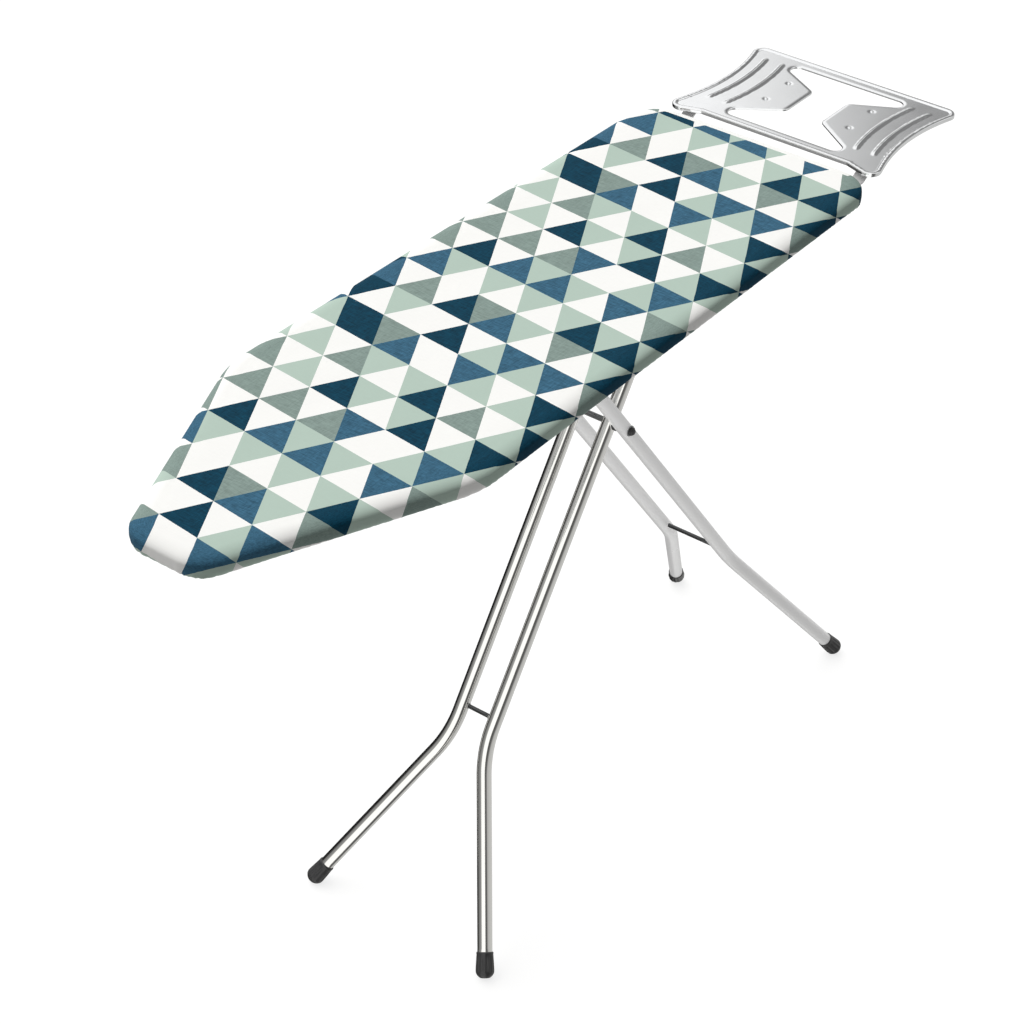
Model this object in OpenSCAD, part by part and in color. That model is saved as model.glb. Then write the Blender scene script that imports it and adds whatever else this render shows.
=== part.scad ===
// Free-standing folding ironing board with four tubular legs, a padded
// patterned cover and a stamped metal iron rest.
// Frame: +X runs from the nose to the iron rest, +Y to the left, +Z up.
// Origin: on the floor, under the middle of the whole object.

/* [Board] */
// Length of the ironing surface, nose to rear edge
board_length = 1177; // [1140:1:1210]
// Greatest width, at the shoulder
board_width = 384; // [372:2:392]
// Width at the rear end
rear_width = 370; // [360:2:380]
// Height of the ironing surface over the floor
board_z = 870; // [860:1:880]
// Height of the cover's edge, top to hem
edge_height = 23.5; // [22:0.5:26]
// Thickness of the felt pad
pad_thickness = 5.6; // [4:0.2:5.6]
// Diameter of the vent holes in the steel top
vent_diameter = 13; // [8:1:16]
// Spacing of the vent holes
vent_pitch = 52; // [48:2:80]

/* [Legs] */
// Outside diameter of the leg tubes
tube_diameter = 20; // [19:0.5:20]
// Wall of the leg tubes
tube_wall = 1; // [0.8:0.1:1.4]
// Centre-line radius of the knee bends
knee_r = 160; // [120:5:180]
// Spread of the front legs at the floor, each side of the middle
front_foot_y = 147; // [135:1:155]
// Spread of the rear legs at the floor, each side of the middle
rear_foot_y = 145; // [135:1:155]
// Diameter of the cross rods
rod_diameter = 6; // [5:0.5:7]
// Height of the leg pivot over the floor
pivot_z = 616; // [610:1:620]

/* [Iron rest] */
// How far the iron rest reaches past the rear edge
rest_reach = 252; // [246:1:260]
// Thickness of the stamped rest plate
rest_thickness = 1.5; // [1:0.1:2]

/* [Hidden] */
hair = 0.01;  // keeps touching faces apart
play = 0.05;  // radial play of turning parts
gap = 0.1;    // between stacked sheet parts

// ---- outlines ----
function arc(centre, r, from, to, steps) = [for (i = [0:steps])
  let (a = from + (to - from) * i / steps) [centre[0] + r * cos(a), centre[1] + r * sin(a)]];
// the +Y half and its mirror image, leaving out end points that lie on the X axis
function both_halves(half, skip = 0) = concat(half,
  [for (i = [len(half) - 1 - skip:-1:skip]) [half[i][0], -half[i][1]]]);

// ---- board plan: the hull of six discs, drawn as tangent points and arcs ----
rear_x = (board_length + rest_reach) / 2 - rest_reach;
nose_x = rear_x - board_length;
nose_r = 45;
shoulder_r = 150;
rear_r = 53;
// centre x, centre y, radius
NOSE = [nose_x + nose_r, 25, nose_r];
SHOULDER = [rear_x - 825, board_width / 2 - shoulder_r, shoulder_r];
REAR = [rear_x - rear_r, rear_width / 2 - rear_r, rear_r];
// direction of the normal of the line that touches two discs
function normal_angle(a, b) = let (d = [b[0] - a[0], b[1] - a[1]])
  atan2(d[1], d[0]) + acos((a[2] - b[2]) / norm(d));
front_normal = normal_angle(NOSE, SHOULDER);
rear_normal = normal_angle(SHOULDER, REAR);
function half_plan(inset) = concat(
  arc(NOSE, NOSE[2] - inset, 180, front_normal, 9),
  arc(SHOULDER, SHOULDER[2] - inset, front_normal, rear_normal, 5),
  arc(REAR, REAR[2] - inset, rear_normal, 0, 9));
function half_width(x) = lookup(x, half_plan(0));
module plan(inset) { polygon(both_halves(half_plan(inset))); }
module slab(inset, z0, z1) { translate([0, 0, z0]) linear_extrude(z1 - z0) plan(inset); }

// ---- levels ----
hem_z = board_z - edge_height;
sheet_thickness = 0.6;
sheet_z = board_z - 7;             // upper face of the steel top
under_z = sheet_z - sheet_thickness;
rib_height = 19.9;
rib_z = under_z - gap - rib_height; // underside of the cross ribs

// ---- leg lines; points in side view are [x, z] ----
tube_r = tube_diameter / 2;
bore_r = tube_r - tube_wall;
rod_r = rod_diameter / 2;
pivot = [rear_x - 373.7, pivot_z];
inner_y = 27.8; // tube centre of the front pair, at the top
outer_y = 51.8; // the same for the rear pair
inner_face = inner_y + tube_r;
outer_face = outer_y + tube_r;
foot_z = 10.5;
front_foot = [rear_x - 788.2, foot_z];
rear_foot = [rear_x + 78.9, foot_z];
// point at a fraction of the way from foot to pivot
function toward_pivot(foot, fraction) = foot + (pivot - foot) * fraction;
front_rod = toward_pivot(front_foot, 0.42);
rear_rod = toward_pivot(rear_foot, 0.42);
// equal arms above the pivot, so that the slide stays level while the legs fold
arm_height = 216;
arm_x = arm_height * (rear_foot[0] - front_foot[0]) / (pivot_z - foot_z) / 2;
top_z = pivot_z + arm_height; // height of the hinge and of the T-bar
hinge = [pivot[0] + arm_x, top_z];
hinge_x = hinge[0];
bar = [pivot[0] - arm_x, top_z];
bar_x = bar[0];
pin_r = 4;
sleeve_r = 8;
bar_r = 6;

// ---- helpers ----
function unit(v) = v / norm(v);
module frame(origin, x, z) { // local X and Z given as unit vectors
  y = cross(z, x);
  multmatrix([
    [x[0], y[0], z[0], origin[0]],
    [x[1], y[1], z[1], origin[1]],
    [x[2], y[2], z[2], origin[2]],
    [0, 0, 0, 1]]) children();
}
module stick(from, to, r) { // round bar between two points
  z = unit(to - from);
  helper = abs(z[1]) > 0.9 ? [1, 0, 0] : [0, 1, 0];
  frame(from, unit(cross(helper, z)), z) cylinder(h = norm(to - from), r = r, $fn = 48);
}
module across(point, y0, y1, r) { // round bar along Y through a side-view point
  stick([point[0], y0, point[1]], [point[0], y1, point[1]], r);
}
module pins(xs, y, z, h, r) { // upright pins at each x, on both sides
  for (side = [-1, 1], x = xs) translate([x, side * y, z]) cylinder(h = h, r = r, $fn = 32);
}
module both_sides() { for (side = [-1, 1]) mirror([0, side < 0 ? 1 : 0, 0]) children(); }

// ================= board =================
module top_sheet() {
  end_margin = 22;
  side_margin = 26;
  color("gainsboro") translate([0, 0, under_z]) linear_extrude(sheet_thickness) difference() {
    plan(2);
    for (i = [0:30], j = [-4:4])
      let (x = nose_x + 40 + i * vent_pitch / 2, y = (j + (i % 2) / 2) * vent_pitch,
           room = min(half_width(x - 16), half_width(x + 16)) - side_margin)
        if (x < rear_x - end_margin && abs(y) < room)
          translate([x, y]) circle(d = vent_diameter, $fn = 32);
  }
}
module edge_band() {
  color("silver") difference() {
    slab(2, hem_z + 1.6, under_z - gap);
    slab(3.2, hem_z, under_z + 1);
  }
}

rail_rivet_y = 73;
strap_y = 140;
// distance ahead of the rear edge, gap to the board's sides, y of the fixing holes (0: none)
RIBS = [[980, 19, 0], [762, 19, rail_rivet_y], [640, 19, rail_rivet_y], [520.5, 19, rail_rivet_y],
  [372, 19, 0], [132, 19, strap_y], [42, 34, strap_y]];
function ribs_holed_at(y) = [for (rib = RIBS) if (rib[2] == y) rear_x - rib[0]];
RAIL_RIB_X = ribs_holed_at(rail_rivet_y);
STRAP_RIB_X = ribs_holed_at(strap_y);
rib_width = 22;
rib_wall = 0.9;
fixing_r = 2; // rail rivets and rest screws
fixing_hole_r = 2.1;
module cross_ribs() { // channels, open at the top
  inner_width = rib_width - 2 * rib_wall;
  color("silver") for (rib = RIBS)
    let (x = rear_x - rib[0],
         half = min(half_width(x - rib_width / 2), half_width(x + rib_width / 2)) - rib[1])
      difference() {
        translate([x - rib_width / 2, -half, rib_z]) cube([rib_width, 2 * half, rib_height]);
        translate([x - inner_width / 2, -half - 1, rib_z + rib_wall])
          cube([inner_width, 2 * half + 2, rib_height]);
        if (rib[2] > 0) pins([x], rib[2], rib_z - 1, 4, fixing_hole_r);
      }
}
module felt_pad() {
  pad_z = sheet_z + 0.2;
  color("whitesmoke") slab(1.5, pad_z, pad_z + pad_thickness);
}
module cotton_cover() { // shell with a hem turned in below
  color("lightseagreen") difference() {
    slab(0, hem_z, board_z);
    slab(1.2, hem_z + 1.2, board_z - 1);
    slab(16, hem_z - 1, hem_z + 3);
  }
}
module hem_cord() {
  color("white") difference() {
    slab(8, hem_z - 3.2, hem_z - 0.2);
    slab(11, hem_z - 4, hem_z + 1);
  }
}
module cord_toggle() { // short bar under the nose, slotted below
  color("dimgray") difference() {
    across([nose_x + 30, hem_z - 9], -9, 9, 5.5);
    translate([nose_x + 22, -2, hem_z - 10.2]) cube([16, 4, 2.4]);
  }
}

// ================= slide and hinge under the board =================
rail_x = rear_x - 774;
rail_length = 272;
channel_half = 8.2; // half height inside the rails
module slide_rails() { // channels that open towards the middle
  wall = 2;
  low_z = top_z - channel_half - wall;
  color("silver") difference() {
    both_sides() translate([rail_x, 65.5, low_z]) cube([rail_length, 15.5, rib_z - gap - low_z]);
    both_sides() translate([rail_x + wall, 64, top_z - channel_half])
      cube([rail_length - 2 * wall, 15.2, 2 * channel_half]);
    pins(RAIL_RIB_X, rail_rivet_y, top_z + 5, 10, fixing_hole_r);
  }
}
module rail_rivets() {
  low_z = top_z + channel_half;
  floor_z = rib_z + rib_wall;
  color("darkgray") {
    pins(RAIL_RIB_X, rail_rivet_y, low_z, floor_z - low_z + 1.3, fixing_r);
    pins(RAIL_RIB_X, rail_rivet_y, floor_z + hair, 1.6, 3.6);
  }
}
module hinge_bracket() { // flange with two rounded cheeks
  cheek = 3;
  cheek_r = 11;
  color("silver") difference() {
    union() {
      translate([hinge_x - 28, -40, under_z - gap - 2]) cube([56, 80, 2]);
      for (side = [-1, 1]) translate([0, side * 15 - cheek / 2, 0]) {
        translate([hinge_x - 20, 0, top_z]) cube([40, cheek, under_z - 2.05 - top_z]);
        translate([hinge_x, 0, top_z]) rotate([-90, 0, 0]) cylinder(h = cheek, r = cheek_r, $fn = 64);
        translate([hinge_x - cheek_r, 0, top_z]) cube([2 * cheek_r, cheek, 6]);
      }
    }
    across(hinge, -30, 30, pin_r + play);
  }
}
hinge_pin_end = 40.6;
module hinge_pin() { color("darkgray") across(hinge, -hinge_pin_end, hinge_pin_end, pin_r); }
module hinge_pin_caps() {
  color("dimgray") for (side = [-1, 1]) difference() {
    across(hinge, side * 38.3, side * 41.3, 6.5);
    across(hinge, side * 38, side * (hinge_pin_end + play), pin_r + hair);
  }
}

// ================= height lock =================
lock_x = rear_x - 470.5;
lock_rod_z = top_z + 5.5;
lock_rod_r = 3.5;
lever_x = lock_x - 6;
lever_y = 22;         // the lever turns about its pin here
lever_end_y = lever_y + 120;
lever_z = top_z + 14;
lever_thickness = 3;
lever_pin_r = 3;
// upright disc on the lever's centre line
module lever_disc(y, z, h, r) { translate([lever_x, y, z]) cylinder(h = h, r = r, $fn = 48); }

module lock_housing() {
  low_z = top_z - 6;
  floor_z = top_z - 4.5;
  roof_z = under_z - gap - 2;
  color("silver") difference() {
    union() {
      translate([lock_x - 18, -16, low_z]) cube([32, 32, under_z - gap - low_z]);
      translate([lock_x - 18, 10, roof_z]) cube([32, 24, 2]);
    }
    translate([lock_x - 16, -17, floor_z]) cube([28, 34, roof_z - floor_z]);
    stick([lock_x - 30, 0, lock_rod_z], [lock_x + 30, 0, lock_rod_z], lock_rod_r + 0.6);
    lever_disc(lever_y, under_z - 4, 6, lever_pin_r + hair);
  }
}
// the canting plate leans 5 degrees while it grips the rod
module lock_plate() {
  low_z = top_z - 3;
  color("dimgray") translate([lock_x, 0, low_z]) rotate([0, -5, 0]) difference() {
    translate([-1.5, -12, 0.4]) cube([3, 24, 27]);
    translate([-5, 0, lock_rod_z - low_z]) rotate([0, 90, 0])
      cylinder(h = 10, r = lock_rod_r + 1, $fn = 48);
  }
}
module lock_spring() { // a round wire, cut across the coil, covers 80 degrees either way
  coil_r = 5.8;
  wire_r = 0.6;
  color("silver") translate([lock_x + 4.2, 0, lock_rod_z]) rotate([0, 90, 0])
    linear_extrude(height = 7.6, twist = 1080, slices = 36, segments = 12)
      polygon([for (edge = [1, -1], step = [-80:32:80]) let (a = edge * step)
        (coil_r + edge * wire_r * sqrt(1 - pow(a / 84, 2))) * [cos(a), sin(a)]]);
}
module lever_pin() {
  color("darkgray") {
    lever_disc(lever_y, lever_z - 0.4, under_z - 0.2 - lever_z + 0.4, lever_pin_r);
    lever_disc(lever_y, lever_z - 2.4, 2.01, 5);
  }
}
module release_lever() {
  color("silver") difference() {
    union() {
      translate([lever_x - 1.6, 4, lever_z]) cube([4, 20, lever_thickness]);
      lever_disc(lever_y, lever_z, lever_thickness, 8);
      translate([lever_x - 6, lever_y, lever_z]) cube([12, lever_end_y - lever_y, lever_thickness]);
      lever_disc(lever_end_y, lever_z, lever_thickness, 6);
    }
    lever_disc(lever_y, lever_z - 1, 5, lever_pin_r + play);
  }
}
module lever_grip() { // round-ended sleeve with a pocket for the lever's end
  low_z = lever_z - 4.5;
  fit = 0.02;
  pocket_z = lever_z - fit;
  pocket_height = lever_thickness + 2 * fit;
  color("dimgray") difference() {
    union() {
      translate([lever_x - 9, 104, low_z]) cube([18, 50, 12]);
      for (y = [104, 154]) lever_disc(y, low_z, 12, 9);
    }
    translate([lever_x - 6 - fit, 90, pocket_z])
      cube([12 + 2 * fit, lever_end_y - 90, pocket_height]);
    lever_disc(lever_end_y, pocket_z, pocket_height, 6 + fit);
  }
}

// ================= iron rest =================
rest_z = board_z - 12.5; // upper face of the flat of the plate
rest_x0 = rear_x + 33;
rest_x1 = rear_x + rest_reach;
function rest_outline(inset) = both_halves(concat(
  [[rest_x0 + inset, 0], [rest_x0 + inset, 118]],
  arc([rest_x0 + 5, 151.5], 15.5 - inset, 208, 76, 10),
  arc([(rest_x0 + rest_x1) / 2, 150 + 306], 306 + inset, 254.5, 285.5, 12),
  arc([rest_x1 - 16, 148], 16 - inset, 102, 0, 9),
  [[rest_x1 - inset, 0]]), skip = 1);
REST_OPENING = both_halves(concat(
  [[rest_x1 - 20, 0]],
  arc([rest_x1 - 31, 80], 11, 0, 148, 8),
  arc([rest_x1 - 79, 39], 11, 328, 270, 5),
  arc([rest_x0 + 84, 39], 11, 270, 214, 5),
  arc([rest_x0 + 29, 80], 11, 34, 180, 8),
  [[rest_x0 + 18, 0]]), skip = 1);
REST_RIVET_X = [rest_x0 + 87, rest_x0 + 146];
rest_rivet_y = 68;
rest_rivet_r = 2.5;
rest_hole_r = 2.6;
module pressed_ribs() { // two curved ridges on each side
  curve_r = 320;
  for (side = [-1, 1], y = [126, 98]) intersection() {
    translate([rest_x0 + 115, side * (y + curve_r), rest_z - 0.5]) rotate_extrude($fn = 192)
      translate([curve_r, 0]) polygon([[-2.5, 0], [-1.4, 1.6], [1.4, 1.6], [2.5, 0]]);
    translate([rest_x0 + 42, side > 0 ? 60 : -160, rest_z - 1]) cube([146, 100, 4]);
  }
}
module rest_plate() {
  color("silver") difference() {
    union() {
      translate([0, 0, rest_z - rest_thickness]) linear_extrude(rest_thickness)
        polygon(rest_outline(0.5));
      translate([0, 0, rest_z - 4.5]) linear_extrude(6) difference() { // rim
        polygon(rest_outline(0));
        polygon(rest_outline(7));
      }
      pressed_ribs();
    }
    translate([0, 0, rest_z - 10]) linear_extrude(20) polygon(REST_OPENING);
    pins(REST_RIVET_X, rest_rivet_y, rest_z - 10, 20, rest_hole_r);
  }
}

strap = 3; // thickness
strap_width = 18;
strap_low_z = rib_z - gap - strap;                     // underside, below the ribs
strap_high_z = rest_z - rest_thickness - gap - strap;  // underside, below the plate
// x, z
STRAP_PROFILE = [
  [rear_x - 145, strap_low_z], [rest_x0 - 6, strap_low_z],
  [rest_x0 + 20, strap_high_z], [rest_x0 + 34, strap_high_z],
  [rest_x0 + 34, strap_high_z + strap], [rest_x0 + 19, strap_high_z + strap],
  [rest_x0 - 7, strap_low_z + strap], [rear_x - 145, strap_low_z + strap]];
// x behind the plate's front edge, y
STRAP_TAB = [[26, 131], [26, 149], [40, 149], [84, 80], [158, 80], [158, 57], [73, 57], [34, 118]];
module rest_straps() { // up from the ribs, then flat under the plate and inwards to the tabs
  color("silver") for (side = [-1, 1]) difference() {
    union() {
      translate([0, side * strap_y + strap_width / 2, 0]) rotate([90, 0, 0])
        linear_extrude(strap_width) polygon(STRAP_PROFILE);
      translate([0, 0, strap_high_z]) linear_extrude(strap)
        polygon([for (p = STRAP_TAB) [rest_x0 + p[0], side * p[1]]]);
    }
    pins(STRAP_RIB_X, strap_y, strap_low_z - 1, 5, fixing_hole_r);
    pins(REST_RIVET_X, rest_rivet_y, strap_high_z - 1, 5, rest_hole_r);
  }
}
module rest_screws() {
  color("dimgray") {
    pins(STRAP_RIB_X, strap_y, strap_low_z - 2.1, 2.1 - hair, 4);
    pins(STRAP_RIB_X, strap_y, strap_low_z - 1, 9, fixing_r);
  }
}
module rest_rivets() { // head below, shank, tapered head above
  color("silver") {
    pins(REST_RIVET_X, rest_rivet_y, strap_high_z - 1.5, 1.5 - hair, 4.2);
    pins(REST_RIVET_X, rest_rivet_y, strap_high_z - 1, rest_z - strap_high_z + 1.4, rest_rivet_r);
    for (side = [-1, 1], x = REST_RIVET_X) translate([x, side * rest_rivet_y, rest_z + hair])
      cylinder(h = 1.3, r1 = 4.2, r2 = 2.6, $fn = 32);
  }
}

// ================= leg parts =================
// [top, knee, foot] of a leg; past_top is how far the tube runs on past top_z
function leg_line(side, foot, foot_y, top_y, knee_at, past_top) =
  let (knee = toward_pivot(foot, knee_at),
       up = unit([pivot[0] - foot[0], 0, pivot_z - foot[1]]))
  [[pivot[0], side * top_y, pivot_z] + up * (arm_height / up[2] + past_top),
   [knee[0], side * top_y, knee[1]],
   [foot[0], side * foot_y, foot[1]]];
function front_line(side) = leg_line(side, front_foot, front_foot_y, inner_y, 0.36, 7);
function rear_line(side) = leg_line(side, rear_foot, rear_foot_y, outer_y, 0.37, -4);

module bent_bar(start, knee, end, r, extra = 0) { // straight, bend, straight
  u = unit(knee - start);
  v = unit(end - knee);
  bend = acos(u * v);
  tangent = knee_r * tan(bend / 2);
  inward = unit(v - u * (u * v));
  bend_start = knee - u * tangent;
  bend_end = knee + v * tangent;
  // each straight runs 1 mm into the bend
  stick(start - u * extra, bend_start + u, r - 0.1);
  frame(bend_start + inward * knee_r, -inward, cross(-inward, u))
    rotate_extrude(angle = bend, $fn = 96) translate([knee_r, 0]) circle(r = r, $fn = 48);
  stick(bend_end - v, end + v * extra, r - 0.1);
}
// tube with holes for the part at its top, the pivot rod and the cross rod
module leg(line, side, y, top, top_r, rod) {
  end = line[2] - unit(line[2] - line[1]) * 2.2; // the tube stops inside its cap
  y0 = side * (y - tube_r - 1);
  y1 = side * (y + tube_r + 1);
  difference() {
    difference() {
      bent_bar(line[0], line[1], end, tube_r);
      bent_bar(line[0], line[1], end, bore_r, 1);
    }
    across(top, y0, y1, top_r + 2 * hair);
    across(pivot, y0, y1, pin_r + play);
    across(rod, 0, side * y, rod_r + 2 * hair);
  }
}
module cross_rod(point, y) { // ends inside the tubes
  end = y - bore_r + 4;
  color("gray") across(point, -end, end, rod_r);
}
// radius, height along the tube: round end, then two raised rings
CAP_PROFILE = concat([[0, -12]], [for (a = [-78:12:-6]) [12 * cos(a), 12 * sin(a)]],
  [[12, 1], [11.7, 8], [12, 8.6], [12, 9.8], [11.6, 10.4], [11.6, 12], [11.9, 12.6],
   [11.9, 13.8], [11.5, 14.4], [11.4, 22], [11.1, 23], [10.4, 23], [0, 23]]);
module foot_cap(line) { // ribbed cap over the end of a tube, flat where it stands
  foot = line[2];
  down = unit(foot - line[1]);
  color("dimgray") difference() {
    frame(foot, unit(cross([0, 0, 1], down)), -down) difference() {
      rotate_extrude($fn = 64) polygon(CAP_PROFILE);
      translate([0, 0, 2]) cylinder(h = 30, r = tube_r + play, $fn = 64);
    }
    translate([foot[0] - 40, foot[1] - 40, -30]) cube([80, 80, 30]);
  }
}

// ================= front (inner) legs =================
module front_leg(side) {
  color("silver") leg(front_line(side), side, inner_y, hinge, sleeve_r, front_rod);
}
module front_leg_left() { front_leg(1); }
module front_leg_right() { front_leg(-1); }
module hinge_sleeves() {
  color("silver") for (side = [-1, 1]) difference() {
    across(hinge, side * 17.4, side * 38, sleeve_r);
    across(hinge, side * 17, side * 39, pin_r + play);
  }
}
module front_cross_rod() { cross_rod(front_rod, inner_y); }
module front_foot_caps() { for (side = [-1, 1]) foot_cap(front_line(side)); }

pivot_rod_end = outer_face + 4;
module pivot_rod() { color("gray") across(pivot, -pivot_rod_end, pivot_rod_end, pin_r); }
module pivot_caps() {
  color("dimgray") for (side = [-1, 1]) difference() {
    union() {
      across(pivot, side * (outer_face + 0.3), side * (outer_face + 2), 7.5);
      across(pivot, side * (outer_face + 1.9), side * (outer_face + 6.5), 6);
    }
    across(pivot, side * outer_face, side * (pivot_rod_end + 2 * hair), pin_r + hair);
  }
}
module pivot_spacers() { // between the inner and outer tubes
  far = outer_y - tube_r;
  color("dimgray") for (side = [-1, 1]) difference() {
    across(pivot, side * (inner_face + gap), side * (far - gap), 8);
    across(pivot, side * (inner_face - 1), side * (far + 1), pin_r + play);
  }
}

// ================= rear (outer) legs =================
module rear_leg(side) {
  color("gainsboro") leg(rear_line(side), side, outer_y, bar, bar_r, rear_rod);
}
module rear_leg_left() { rear_leg(1); }
module rear_leg_right() { rear_leg(-1); }
module t_bar() {
  color("gainsboro") difference() {
    across(bar, -76, 76, bar_r);
    across(bar, -77, 77, bar_r - 1.2);
  }
}
module rear_cross_rod() { cross_rod(rear_rod, outer_y); }
module rear_foot_caps() { for (side = [-1, 1]) foot_cap(rear_line(side)); }

// ================= slide =================
module glide_shoes() { // blocks on the ends of the T-bar, inside the rails
  color("dimgray") for (side = [-1, 1]) difference() {
    translate([bar_x - 14, side > 0 ? 66.3 : -79, top_z - 8]) cube([28, 12.7, 16]);
    across(bar, side * 60, side * 77, bar_r + play);
  }
}
lock_rod_x = bar_x + 13; // blind end of the rod's hole
module lock_yoke() { // joins the T-bar and the lock rod
  color("dimgray") difference() {
    translate([bar_x - 11, -9, top_z - 10]) cube([41, 18, 19.4]);
    across(bar, -10, 10, bar_r + play);
    stick([lock_rod_x, 0, lock_rod_z], [bar_x + 50, 0, lock_rod_z], lock_rod_r + hair);
  }
}
module lock_rod() {
  color("silver")
    stick([lock_rod_x + gap, 0, lock_rod_z], [hinge_x - 12, 0, lock_rod_z], lock_rod_r);
}

top_sheet();
edge_band();
cross_ribs();
felt_pad();
cotton_cover();
hem_cord();
cord_toggle();
slide_rails();
rail_rivets();
hinge_bracket();
hinge_pin();
hinge_pin_caps();
lock_housing();
lock_spring();
lever_pin();
release_lever();
lever_grip();
lock_plate();
rest_plate();
rest_straps();
rest_screws();
rest_rivets();
front_leg_left();
front_leg_right();
hinge_sleeves();
front_cross_rod();
front_foot_caps();
pivot_rod();
pivot_caps();
pivot_spacers();
rear_leg_left();
rear_leg_right();
t_bar();
rear_cross_rod();
rear_foot_caps();
glide_shoes();
lock_yoke();
lock_rod();
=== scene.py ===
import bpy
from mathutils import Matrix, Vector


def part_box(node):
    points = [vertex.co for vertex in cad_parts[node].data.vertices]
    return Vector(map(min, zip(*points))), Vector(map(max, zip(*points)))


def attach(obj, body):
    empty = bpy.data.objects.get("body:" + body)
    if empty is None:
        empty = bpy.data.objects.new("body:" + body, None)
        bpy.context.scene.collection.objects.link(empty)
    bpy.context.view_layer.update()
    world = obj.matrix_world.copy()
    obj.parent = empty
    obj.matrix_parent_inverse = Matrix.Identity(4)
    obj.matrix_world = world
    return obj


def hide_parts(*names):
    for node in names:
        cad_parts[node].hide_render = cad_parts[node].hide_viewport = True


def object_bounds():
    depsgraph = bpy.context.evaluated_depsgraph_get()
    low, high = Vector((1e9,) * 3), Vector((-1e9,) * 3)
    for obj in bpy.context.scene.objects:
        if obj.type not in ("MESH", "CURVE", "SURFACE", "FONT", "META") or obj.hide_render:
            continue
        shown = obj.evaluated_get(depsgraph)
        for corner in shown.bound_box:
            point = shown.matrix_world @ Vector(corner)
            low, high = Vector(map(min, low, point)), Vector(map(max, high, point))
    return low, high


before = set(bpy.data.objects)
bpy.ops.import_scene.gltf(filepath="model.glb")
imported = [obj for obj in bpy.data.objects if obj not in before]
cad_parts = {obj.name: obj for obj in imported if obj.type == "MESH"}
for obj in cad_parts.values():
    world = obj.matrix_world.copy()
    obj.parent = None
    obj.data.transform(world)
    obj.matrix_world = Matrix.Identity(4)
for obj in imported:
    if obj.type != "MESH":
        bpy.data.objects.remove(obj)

# Looks of a free-standing ironing board: printed cotton cover over felt, pressed iron rest,
# bright front legs, white rear legs, dark caps.
# The board lies along X with its nose at low X and the iron rest at high X; Y runs across it,
# Z is up and the feet stand on Z = 0. "Left" pieces are on the +Y side.
# Sizes are in millimetres here and become metres in the mesh data.

import math

import bpy
import numpy as np
from mathutils import Matrix, Vector, noise
from mathutils.geometry import delaunay_2d_cdt

start_lo, start_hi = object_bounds()
SCENE = bpy.context.scene

# camera axes, and its place in metres from the middle of the object
CAM_RIGHT = Vector((0.60849, -0.7935, 0.00997))
CAM_UP = Vector((0.46231, 0.36468, 0.80826))
CAM_BACK = Vector((-0.64499, -0.48721, 0.58875))
CAM_PLACE = (start_lo + start_hi) / 2 + Vector((-2.35786, -1.71749, 2.19639))
TO_CAMERA = Vector((CAM_BACK.x, CAM_BACK.y, 0)).normalized()  # level, from object to camera


# ------------------------------------------------------------------ main measures
def mm_box(name):
    low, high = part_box(name)
    return np.array(low, float) * 1000, np.array(high, float) * 1000


cover_lo, cover_hi = mm_box("cotton_cover")
X_NOSE, Z_HEM = cover_lo[0], cover_lo[2]
X_REAR, HALF_WIDTH, Z_TOP = cover_hi

rod_lo, rod_hi = mm_box("pivot_rod")
PIVOT_X, _, PIVOT_Z = (rod_lo + rod_hi) / 2
TUBE_RADIUS = 10.0
FRONT_LEG_Y = mm_box("front_leg_left")[0][1] + TUBE_RADIUS
REAR_LEG_Y = mm_box("rear_leg_left")[0][1] + TUBE_RADIUS
rest_lo, rest_hi = mm_box("rest_plate")


# ------------------------------------------------------------------ small maths
def unit(v):
    v = np.asarray(v, float)
    return v / np.linalg.norm(v)


def smooth(start, end, x):
    """Eased step from 0 at start to 1 at end."""
    t = np.clip((np.asarray(x, float) - start) / (end - start), 0, 1)
    return t * t * (3 - 2 * t)


def arc(x, y, radius, start, end, step=2.0):
    """Points on an arc, angles in degrees, no further apart than step."""
    n = max(3, int(abs(math.radians(end - start)) * radius / step) + 1)
    angles = [math.radians(start + (end - start) * k / n) for k in range(n + 1)]
    return [(x + radius * math.cos(a), y + radius * math.sin(a)) for a in angles]


def bezier(p0, p1, p2, p3):
    t = np.linspace(0, 1, 14)[:, None]
    return (1 - t) ** 3 * p0 + 3 * (1 - t) ** 2 * t * p1 + 3 * (1 - t) * t * t * p2 + t ** 3 * p3


# ------------------------------------------------------------------ flat regions and loops
def inside(points, loop):
    """Which points lie inside a closed polygon."""
    points = np.asarray(points, float)
    x, y = points[:, 0], points[:, 1]
    result = np.zeros(len(points), bool)
    for (ax, ay), (bx, by) in zip(loop, np.roll(loop, -1, axis=0)):
        spans = (ay > y) != (by > y)
        if spans.any():
            crossing = (bx - ax) * (y - ay) / ((by - ay) or 1e-12) + ax
            result ^= spans & (x < crossing)
    return result


def triangulate(points, loops):
    """Triangles (point numbers) inside the first loop and outside the others, facing +Z."""
    points = np.asarray(points, float)
    edges = [(l[k], l[(k + 1) % len(l)]) for l in loops for k in range(len(l))]
    _, _, found, origins, _, _ = delaunay_2d_cdt(
        [Vector(p) for p in points], edges, [], 0, 1e-5, True)
    source = [o[0] if o else -1 for o in origins]
    tri = []
    for face in found:
        ids = [source[i] for i in face]
        if -1 in ids or len(set(ids)) < 3:
            continue
        for k in range(1, len(ids) - 1):
            tri.append((ids[0], ids[k], ids[k + 1]))
    tri = np.array(tri, int)
    middle = points[tri].mean(1)
    keep = inside(middle, points[list(loops[0])])
    for hole in loops[1:]:
        keep &= ~inside(middle, points[list(hole)])
    tri = tri[keep]
    corner = points[tri]
    area = np.cross(corner[:, 1] - corner[:, 0], corner[:, 2] - corner[:, 0])
    real = np.abs(area) > 1e-7
    tri, area = tri[real], area[real]
    tri[area < 0] = tri[area < 0][:, ::-1]
    return [tuple(t) for t in tri]


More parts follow.
